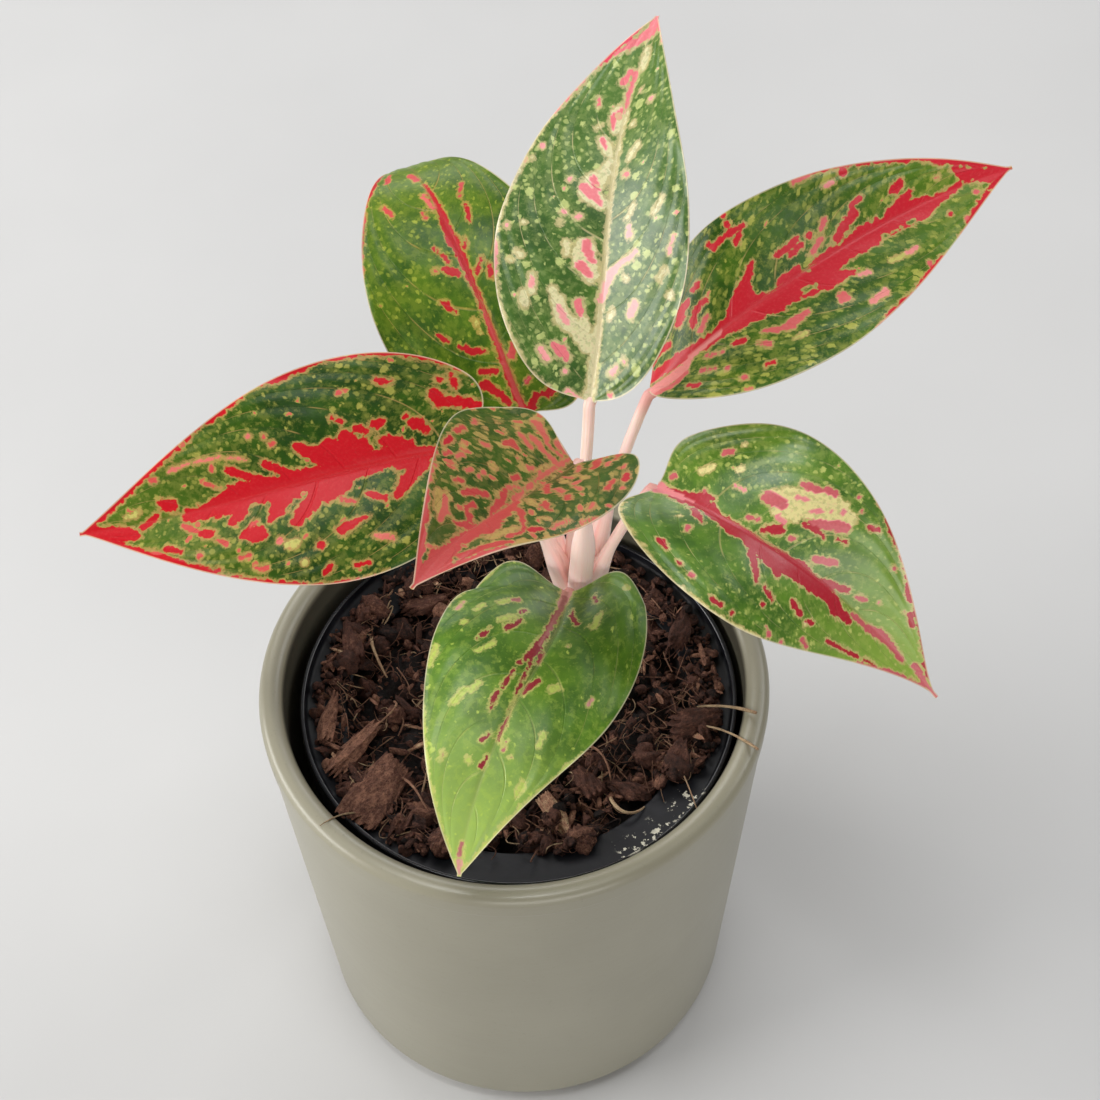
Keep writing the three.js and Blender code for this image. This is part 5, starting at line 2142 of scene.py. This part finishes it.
def lower_right_leaf() -> Blade:
    """Describe the lower right leaf: mid green with a branching crimson midrib and one pale patch.

    Returns:
        The blade.
    """
    shape = LeafShape(
        midrib=((37, 6, 206), (62, -17, 214), (80, -16, 195), (106, -30, 164)),
        face_base=(0.26, -0.29, 0.92), face_tip=(-0.05, -0.66, 0.75),
        left=Outline(27.7, 0.345, 2), right=Outline(22.5, 0.345, 2),
        lobe=12, lifts=(0.37, 0.38), droop=4.9,
        stalk=((16.73, 2.07, 152), (20, -2, 178), (27, 4, 192), (36, 6.8, 204.5)),
    )
    strokes = (
        (PINK, 0, 0, 18, 40, -3, 12),
        (RED, 10, 0, 9, 50, -4, 13, 100, -9, 19, 140, -14, 18, 190, 2, 13, 240, 8, 18, 290, 8, 17,
         340, 18, 22, 400, 20, 28, 460, 12, 26, 520, 16, 23, 580, 14, 19, 620, 28, 18, 660, 28, 9),
        (PINK, 0, 0, 13, 60, -4, 7, 110, -6, 3), (RED, 120, -28, 9, 160, -35, 6),
        (RED, 120, 12, 8, 146, 22, 9, 172, 36, 5), (RED, 326, 36, 12, 354, 68, 9, 378, 100, 6),
        (RED, 390, 35, 11, 416, 50, 10), (RED, 540, -2, 10, 570, -10, 10, 610, -28, 8),
        (ROSE, 660, 12, 6, 700, 12, 7, 740, 2, 12, 770, -4, 11, 830, 4, 7), (ROSE, 28, -38, 6, 40, -44, 5),
        (ROSE, 128, -40, 5), (ROSE, 264, -32, 6, 296, -42, 6), (RED, 320, -24, 7, 340, -38, 12, 370, -46, 9),
        (ROSE, 394, -42, 6, 410, -48, 6), (ROSE, 484, -34, 8, 508, -44, 9, 540, -58, 8),
        (ROSE, 638, -28, 6, 660, -36, 6), (PINK, 690, -54, 3),
        (CREAM, 320, -104, 24, 370, -124, 34, 420, -144, 42, 466, -152, 34, 496, -156, 18),
        (CREAM, 330, -84, 16, 380, -94, 16), (PINK, 340, -68, 9, 360, -66, 7),
        (ROSE, 294, -94, 16, 334, -102, 14), (ROSE, 358, -164, 9, 394, -174, 9),
        (ROSE, 410, -185, 9, 434, -189, 8), (ROSE, 414, -96, 8, 456, -114, 10, 480, -126, 14, 504, -136, 12),
        (RED, 404, -88, 6, 436, -90, 8, 470, -89, 6), (PINK, 474, -162, 8),
        (PINK, 360, -132, 5, 384, -140, 5), (PINK, 406, -120, 5, 426, -134, 6), (PINK, 448, -148, 5),
        (ROSE, 508, -190, 5), (RED, 504, -104, 6, 524, -110, 6), (RED, 548, -170, 7, 566, -180, 6),
        (ROSE, 484, -214, 5), (ROSE, 160, -142, 6, 178, -158, 7), (CREAM, 196, -186, 5),
        (CREAM, 204, -120, 6, 214, -128, 6), (CREAM, 112, -80, 6, 144, -104, 5),
        (PINK, 206, -84, 4, 234, -86, 4), (ROSE, 656, -136, 6), (ROSE, 746, -80, 4), (CREAM, 124, 52, 4),
        (ROSE, 162, 64, 4, 176, 82, 4), (RED, 166, 140, 8, 180, 148, 6), (RED, 220, 164, 7),
        (ROSE, 250, 176, 6), (RED, 310, 200, 6, 332, 200, 6), (RED, 362, 200, 6), (RED, 420, 136, 8),
        (RED, 402, 98, 6, 436, 112, 6), (ROSE, 460, 174, 4, 480, 188, 5), (ROSE, 520, 184, 8),
        (ROSE, 568, 144, 6, 594, 152, 6), (RED, 496, 88, 9, 526, 98, 10), (CREAM, 556, 108, 6),
        (RED, 554, 102, 5, 574, 94, 5), (RED, 640, 102, 5, 690, 92, 5, 736, 76, 5),
        (RED, 756, 70, 5, 784, 64, 4), (RED, 594, -199, 9, 616, -188, 8), (RED, 714, -122, 8, 734, -110, 7),
        (RED, 760, -84, 7, 780, -72, 6), (ROSE, 860, -10, 9, 910, 0, 8, 940, 0, 6),
    )
    rims = (
        (RED, -1, 0.54, 0.98, 0.5), (ROSE, 1, 0.76, 1.0, 0.8), (CREAM, 1, 0.03, 0.5, 0.45),
    )
    crowds = (
        (16, -14, 12, 0.6), (40, -14, 7, 1.2), (30, 18, 10, 0.2), (60, -14, 10, -0.4), (20, 6, 14, -1.2),
    )
    tint = LeafTint(
        dark=srgb(54, 96, 12), light=srgb(102, 144, 32), tip=srgb(158, 190, 74), fleck=srgb(196, 204, 110),
        heart=srgb(214, 130, 110), red=srgb(178, 18, 42), pink=srgb(234, 138, 142), cream=srgb(228, 216, 148),
        density=0.36, spots=0.12, hearts=0.3, haze=0.34, gloss=0.5, sheen=0.4, veins=0.35,
    )
    return Blade("lower_right", shape, tint, strokes, rims, crowds, 4)


def centre_leaf() -> Blade:
    """Describe the young centre leaf: olive green with salmon streaks along its side veins.

    Returns:
        The blade.
    """
    shape = LeafShape(
        midrib=((17, -19, 246), (4, -39, 256), (-6, -50, 267), (-17, -74, 274)),
        face_base=(-0.28, -0.3, 0.91), face_tip=(0, -0.45, 0.89),
        left=Outline(18.9, 0.25, 1.5), right=Outline(22.9, 0.226, 1.52),
        lobe=8, lifts=(0.54, 0.58), droop=4.6,
        stalk=((16.87, 1.53, 160), (18.5, -4.5, 190), (21, -10, 225), (17.6, -18.3, 244.5)),
    )
    strokes = (
        (PINK, 0, 15, 5, 100, 17, 5, 200, 12, 5, 260, 2, 8),
        (ROSE, 260, -4, 6, 310, -14, 12, 370, -16, 17, 430, -22, 22, 480, -10, 15, 540, -8, 15, 600, -6, 23,
         640, -4, 19, 700, 0, 8),
        (ROSE, 264, 26, 8, 310, 12, 9, 360, 6, 7), (PINK, 220, 23, 6, 250, 30, 7),
        (ROSE, 430, 22, 9, 456, 8, 9, 484, 28, 7), (PINK, 0, 40, 14, 14, 56, 8),
        (PINK, 20, 28, 4, 40, 60, 4), (ROSE, 4, -86, 7, 34, -90, 5), (ROSE, 10, -48, 7, 54, -64, 8),
        (PINK, 20, -18, 5, 62, -36, 5), (RED, 90, -149, 8, 102, -154, 6), (PINK, 126, -163, 6),
        (ROSE, 112, -132, 5, 142, -138, 8), (PINK, 68, -123, 6), (PINK, 46, -80, 4, 60, -88, 4),
        (PINK, 208, -146, 5, 228, -150, 8), (PINK, 195, -177, 5), (PINK, 260, -170, 4, 276, -166, 4),
        (PINK, 290, -140, 5, 320, -130, 6, 340, -132, 5), (RED, 362, -109, 9, 384, -100, 10),
        (CREAM, 314, -104, 5, 318, -90, 5), (ROSE, 198, -82, 8, 210, -89, 7),
        (PINK, 152, -74, 4, 164, -92, 4), (ROSE, 240, -56, 5, 258, -66, 10, 278, -88, 5),
        (CREAM, 240, -24, 9, 256, -36, 7, 266, -50, 5), (PINK, 126, -64, 6, 138, -64, 5),
        (PINK, 160, -40, 8, 174, -56, 6, 190, -66, 4), (ROSE, 136, -8, 6, 164, -20, 9, 190, -34, 5),
        (CREAM, 100, -18, 4, 118, -36, 5, 128, -50, 4), (CREAM, 80, -36, 4, 94, -56, 4, 110, -72, 4),
        (PINK, 84, -14, 3, 104, -46, 3), (ROSE, 296, -28, 6, 330, -50, 10, 348, -62, 6, 400, -90, 3.5),
        (CREAM, 396, -70, 6, 430, -62, 9, 470, -50, 8), (ROSE, 410, -86, 7, 444, -78, 8),
        (ROSE, 470, -92, 10, 496, -70, 11, 530, -56, 9, 570, -36, 12), (CREAM, 436, -110, 7, 500, -104, 7),
        (PINK, 50, 28, 6, 62, 58, 9, 72, 96, 9), (PINK, 94, 80, 7, 98, 116, 7),
        (PINK, 32, 80, 8, 36, 116, 8, 43, 130, 5), (PINK, 42, 68, 4), (PINK, 116, 28, 6, 146, 48, 5),
        (CREAM, 80, 30, 4, 130, 34, 3), (ROSE, 134, 94, 8, 138, 108, 12, 162, 115, 5), (PINK, 154, 70, 6),
        (ROSE, 194, 39, 7, 216, 45, 5), (CREAM, 246, 82, 8, 254, 86, 7), (PINK, 214, 126, 8, 224, 134, 8),
        (PINK, 286, 81, 5, 318, 78, 4), (ROSE, 330, 38, 6, 364, 58, 9, 396, 64, 8),
        (ROSE, 394, 37, 6, 422, 39, 6), (CREAM, 450, 76, 10, 470, 86, 14, 504, 70, 10),
        (PINK, 460, 78, 7, 486, 59, 8, 520, 52, 6), (ROSE, 380, 90, 8, 394, 96, 7),
        (PINK, 320, 96, 5, 340, 100, 6), (PINK, 310, 133, 6, 332, 135, 6), (PINK, 356, 126, 7),
        (ROSE, 340, 152, 7, 356, 153, 6), (PINK, 374, 164, 5), (RED, 298, 178, 8, 330, 174, 6),
        (ROSE, 238, 184, 7, 270, 183, 5), (CREAM, 284, 148, 6), (PINK, 174, 193, 6, 192, 186, 7),
        (CREAM, 174, 166, 5), (PINK, 130, 145, 5), (CREAM, 120, 170, 4), (CREAM, 90, 134, 4),
        (PINK, 415, 144, 6),
    )
    rims = (
        (ROSE, -1, 0.66, 1.0, 1.5), (PINK, -1, 0.3, 0.5, 0.5), (CREAM, -1, 0.46, 0.68, 0.8),
        (ROSE, 1, 0.66, 1.0, 1.4), (PINK, 1, 0.5, 0.68, 0.6),
    )
    crowds = ((12, -9, 8, 0.5), (50, -4, 12, 0.5), (12, 14, 9, 0.2), (30, 6, 12, 0.2))
    tint = LeafTint(
        dark=srgb(32, 66, 8), light=srgb(66, 100, 18), tip=srgb(72, 84, 20), fleck=srgb(190, 160, 92),
        heart=srgb(206, 94, 80), red=srgb(190, 26, 46), pink=srgb(210, 102, 90), cream=srgb(188, 156, 88),
        density=0.5, spots=0.42, hearts=0.6, haze=0.2, stretch=2.2, gloss=0.24, veins=0.2, pitch=2.4,
        ruddy=0.3,
    )
    return Blade("centre", shape, tint, strokes, rims, crowds, 5)


def back_left_leaf() -> Blade:
    """Describe the back left leaf: yellowish green with a narrow red midrib and short dashes.

    Returns:
        The blade.
    """
    shape = LeafShape(
        midrib=((6, 24, 214), (-1, 40, 230), (-22, 83, 260), (-25, 94, 228)),
        face_base=(-0.25, -0.53, 0.81), face_tip=(-0.11, 0.6, 0.8),
        left=Outline(27.2, 0.344, 1.9), right=Outline(22, 0.33, 1.41),
        lobe=7, lifts=(-0.05, 0.12), droop=3.2,
        stalk=((16.6, 2.6, 144), (14, 6, 180), (9, 16, 198), (6.2, 23.6, 212.4)),
    )
    strokes = (
        (RED, 0, 0, 14, 50, -10, 10, 120, -11, 9, 200, -8, 8, 300, -5, 7, 380, -4, 10, 450, -4, 14,
         500, -3, 11, 550, 3, 7, 600, 2, 6, 630, 0, 4),
        (ROSE, 10, -6, 6, 80, -10, 6, 150, -10, 5, 220, -8, 3, 320, -6, 2),
        (RED, 50, -34, 8, 90, -50, 10, 132, -76, 12), (RED, 138, -34, 7, 158, -72, 8),
        (RED, 194, -40, 4, 204, -66, 9, 232, -98, 5), (RED, 254, -118, 6, 278, -138, 5),
        (RED, 300, -72, 5, 320, -84, 7, 332, -96, 5), (CREAM, 234, -36, 4, 266, -36, 5),
        (RED, 376, -30, 10, 390, -50, 9), (ROSE, 400, -76, 6), (RED, 404, -38, 7, 420, -42, 6, 450, -54, 5),
        (PINK, 544, -12, 6, 590, -20, 6), (ROSE, 660, -12, 10, 690, -16, 8),
        (ROSE, 526, -40, 5, 546, -40, 5), (ROSE, 154, 14, 8, 180, 26, 7), (ROSE, 86, 24, 5, 96, 36, 6),
        (RED, 336, 44, 6, 360, 52, 7), (RED, 350, 14, 5, 380, 40, 5), (RED, 420, 14, 6, 438, 24, 4),
        (RED, 466, 53, 4, 514, 64, 5), (ROSE, 544, 60, 5, 580, 80, 6), (RED, 55, 60, 11, 75, 90, 9),
        (RED, 20, 16, 12, 50, 40, 8), (ROSE, 578, -112, 6, 616, -118, 6), (ROSE, 700, -80, 7, 740, -60, 6),
        (ROSE, 120, 120, 7, 150, 130, 6), (RED, 140, -200, 11, 180, -180, 10),
    )
    rims = (
        (RED, -1, 0.68, 0.86, 1.1), (ROSE, -1, 0.5, 0.7, 0.6), (RED, 1, 0.05, 0.2, 1.0),
    )
    crowds = ((40, -20, 14, 0.7), (62, -6, 12, 0.5), (20, -14, 10, 0.1))
    tint = LeafTint(
        dark=srgb(40, 78, 8), light=srgb(88, 120, 14), tip=srgb(104, 130, 40), fleck=srgb(158, 168, 58),
        red=srgb(184, 22, 34), pink=srgb(226, 112, 104), density=0.3, spots=0.1, hearts=0.05, haze=0.3,
        gloss=0.3,
    )
    return Blade("back_left", shape, tint, strokes, rims, crowds, 6)


def front_leaf() -> Blade:
    """Describe the front leaf: green to yellow-green at the tip, painted paler there as a painted sheen, with
    a thin maroon midrib.

    Returns:
        The blade.
    """
    shape = LeafShape(
        midrib=((15, -10, 186), (13, -32, 192), (-8, -50, 189), (-13, -78, 166)),
        face_base=(0.06, -0.27, 0.96), face_tip=(-0.02, -0.49, 0.87),
        left=Outline(22.7, 0.34, 1.35), right=Outline(26.7, 0.323, 1.5),
        lobe=21, lifts=(0.17, 0.1), droop=6.9,
        stalk=((16.4, 3.4, 132), (19, -6, 158), (16, -5, 174), (15.1, -9.1, 184.3)),
    )
    strokes = (
        (PINK, 0, 2, 16, 50, 9, 11, 90, 13, 6),
        (RED, 70, 11, 6, 120, 15, 8, 200, 16, 8, 260, 20, 11, 290, 28, 7, 318, 39, 5),
        (ROSE, 30, 6, 8, 120, 12, 5, 240, 14, 4), (RED, 256, 2, 5, 290, -2, 5),
        (RED, 270, 16, 5, 350, 13, 3, 440, 4, 3, 470, 0, 4.5, 514, -3, 5),
        (RED, 338, -22, 8, 356, -12, 8, 386, -8, 5), (RED, 340, 40, 5, 370, 44, 5, 396, 44, 5),
        (RED, 414, 49, 6, 434, 49, 7, 464, 44, 4), (RED, 506, 22, 6, 532, 32, 6),
        (RED, 562, 6, 5, 586, 8, 7), (ROSE, 512, -24, 3.5, 532, -24, 3.5), (ROSE, 540, -46, 4),
        (CREAM, 580, 43, 6), (ROSE, 582, 106, 4, 598, 104, 4), (RED, 64, -63, 4, 88, -73, 5),
        (RED, 84, -18, 4, 110, -23, 5, 144, -42, 5), (CREAM, 86, -144, 5), (CREAM, 128, -90, 5, 160, -82, 8),
        (PINK, 154, -66, 3.5), (PINK, 216, -44, 4), (PINK, 316, -155, 4, 334, -154, 4),
        (CREAM, 330, -74, 6, 344, -60, 7), (CREAM, 456, -95, 6, 490, -98, 5),
        (CREAM, 588, -97, 7, 614, -92, 6), (RED, 174, 85, 4, 194, 96, 5), (ROSE, 156, 110, 5, 176, 134, 4),
        (CREAM, 174, 134, 6, 198, 158, 5), (RED, 208, 82, 4, 236, 96, 6, 254, 106, 8),
        (CREAM, 214, 104, 4, 246, 136, 4), (RED, 274, 143, 5, 300, 152, 7, 312, 158, 5),
        (CREAM, 220, 189, 5, 244, 198, 4), (PINK, 222, 238, 4, 254, 243, 5),
        (CREAM, 304, 118, 5, 340, 140, 4), (CREAM, 414, 100, 6, 440, 108, 5),
        (CREAM, 444, 122, 8, 476, 134, 9), (CREAM, 370, 236, 4, 420, 228, 5), (CREAM, 286, 210, 7),
        (ROSE, 742, 4, 5, 762, 6, 6), (PINK, 774, 6, 8, 790, 0, 6),
    )
    rims = (
        (CREAM, -1, 0.55, 1.0, 0.35), (CREAM, 1, 0.6, 1.0, 0.35), (CREAM, 1, 0.04, 0.3, 0.3),
    )
    crowds = ((30, -20, 10, 0.1), (45, 14, 12, 0.3), (20, 2, 20, -0.6))
    # The tip green is the leaf's own yellow-green, painted paler as well to stand for the sheen on the tip.
    tint = LeafTint(
        dark=srgb(60, 104, 14), light=srgb(104, 148, 32), tip=srgb(164, 192, 96), fleck=srgb(192, 212, 92),
        red=srgb(146, 24, 42), pink=srgb(220, 158, 146), cream=srgb(190, 208, 96), density=0.14, spots=0.12,
        hearts=0.05, haze=0.34, gloss=0.5, sheen=0.1, veins=0.25,
    )
    return Blade("front", shape, tint, strokes, rims, crowds, 7)


# ---- The whole object ----


def build_plant() -> None:
    """Build the cane, and each leaf with its stalk."""
    cane = Cane()
    cane.dress(cane.build())
    skin = StalkFinish().build("stalk_skin")
    leaves = (
        centre_leaf, lower_right_leaf, left_leaf, top_leaf, upper_right_leaf, back_left_leaf, front_leaf,
    )
    for describe in leaves:
        blade = describe()
        blade.dress(blade.build())
        stalk = Stalk(blade)
        stalk.dress(stalk.build(), skin)


def build_pots() -> None:
    """Build the two pots and the soil."""
    for pot in (Cachepot(), NurseryPot()):
        pot.dress(pot.build())
    soil = Soil()
    soil.dress([soil.bed(), soil.chips(), *soil.crumb_pieces(), soil.bark(), soil.fibres_piece()])


def main() -> None:
    """Build the scene piece by piece."""
    logging.basicConfig(level=logging.INFO, format="%(message)s")
    Studio().build()
    build_pots()
    build_plant()


if __name__ == "__main__":
    main()
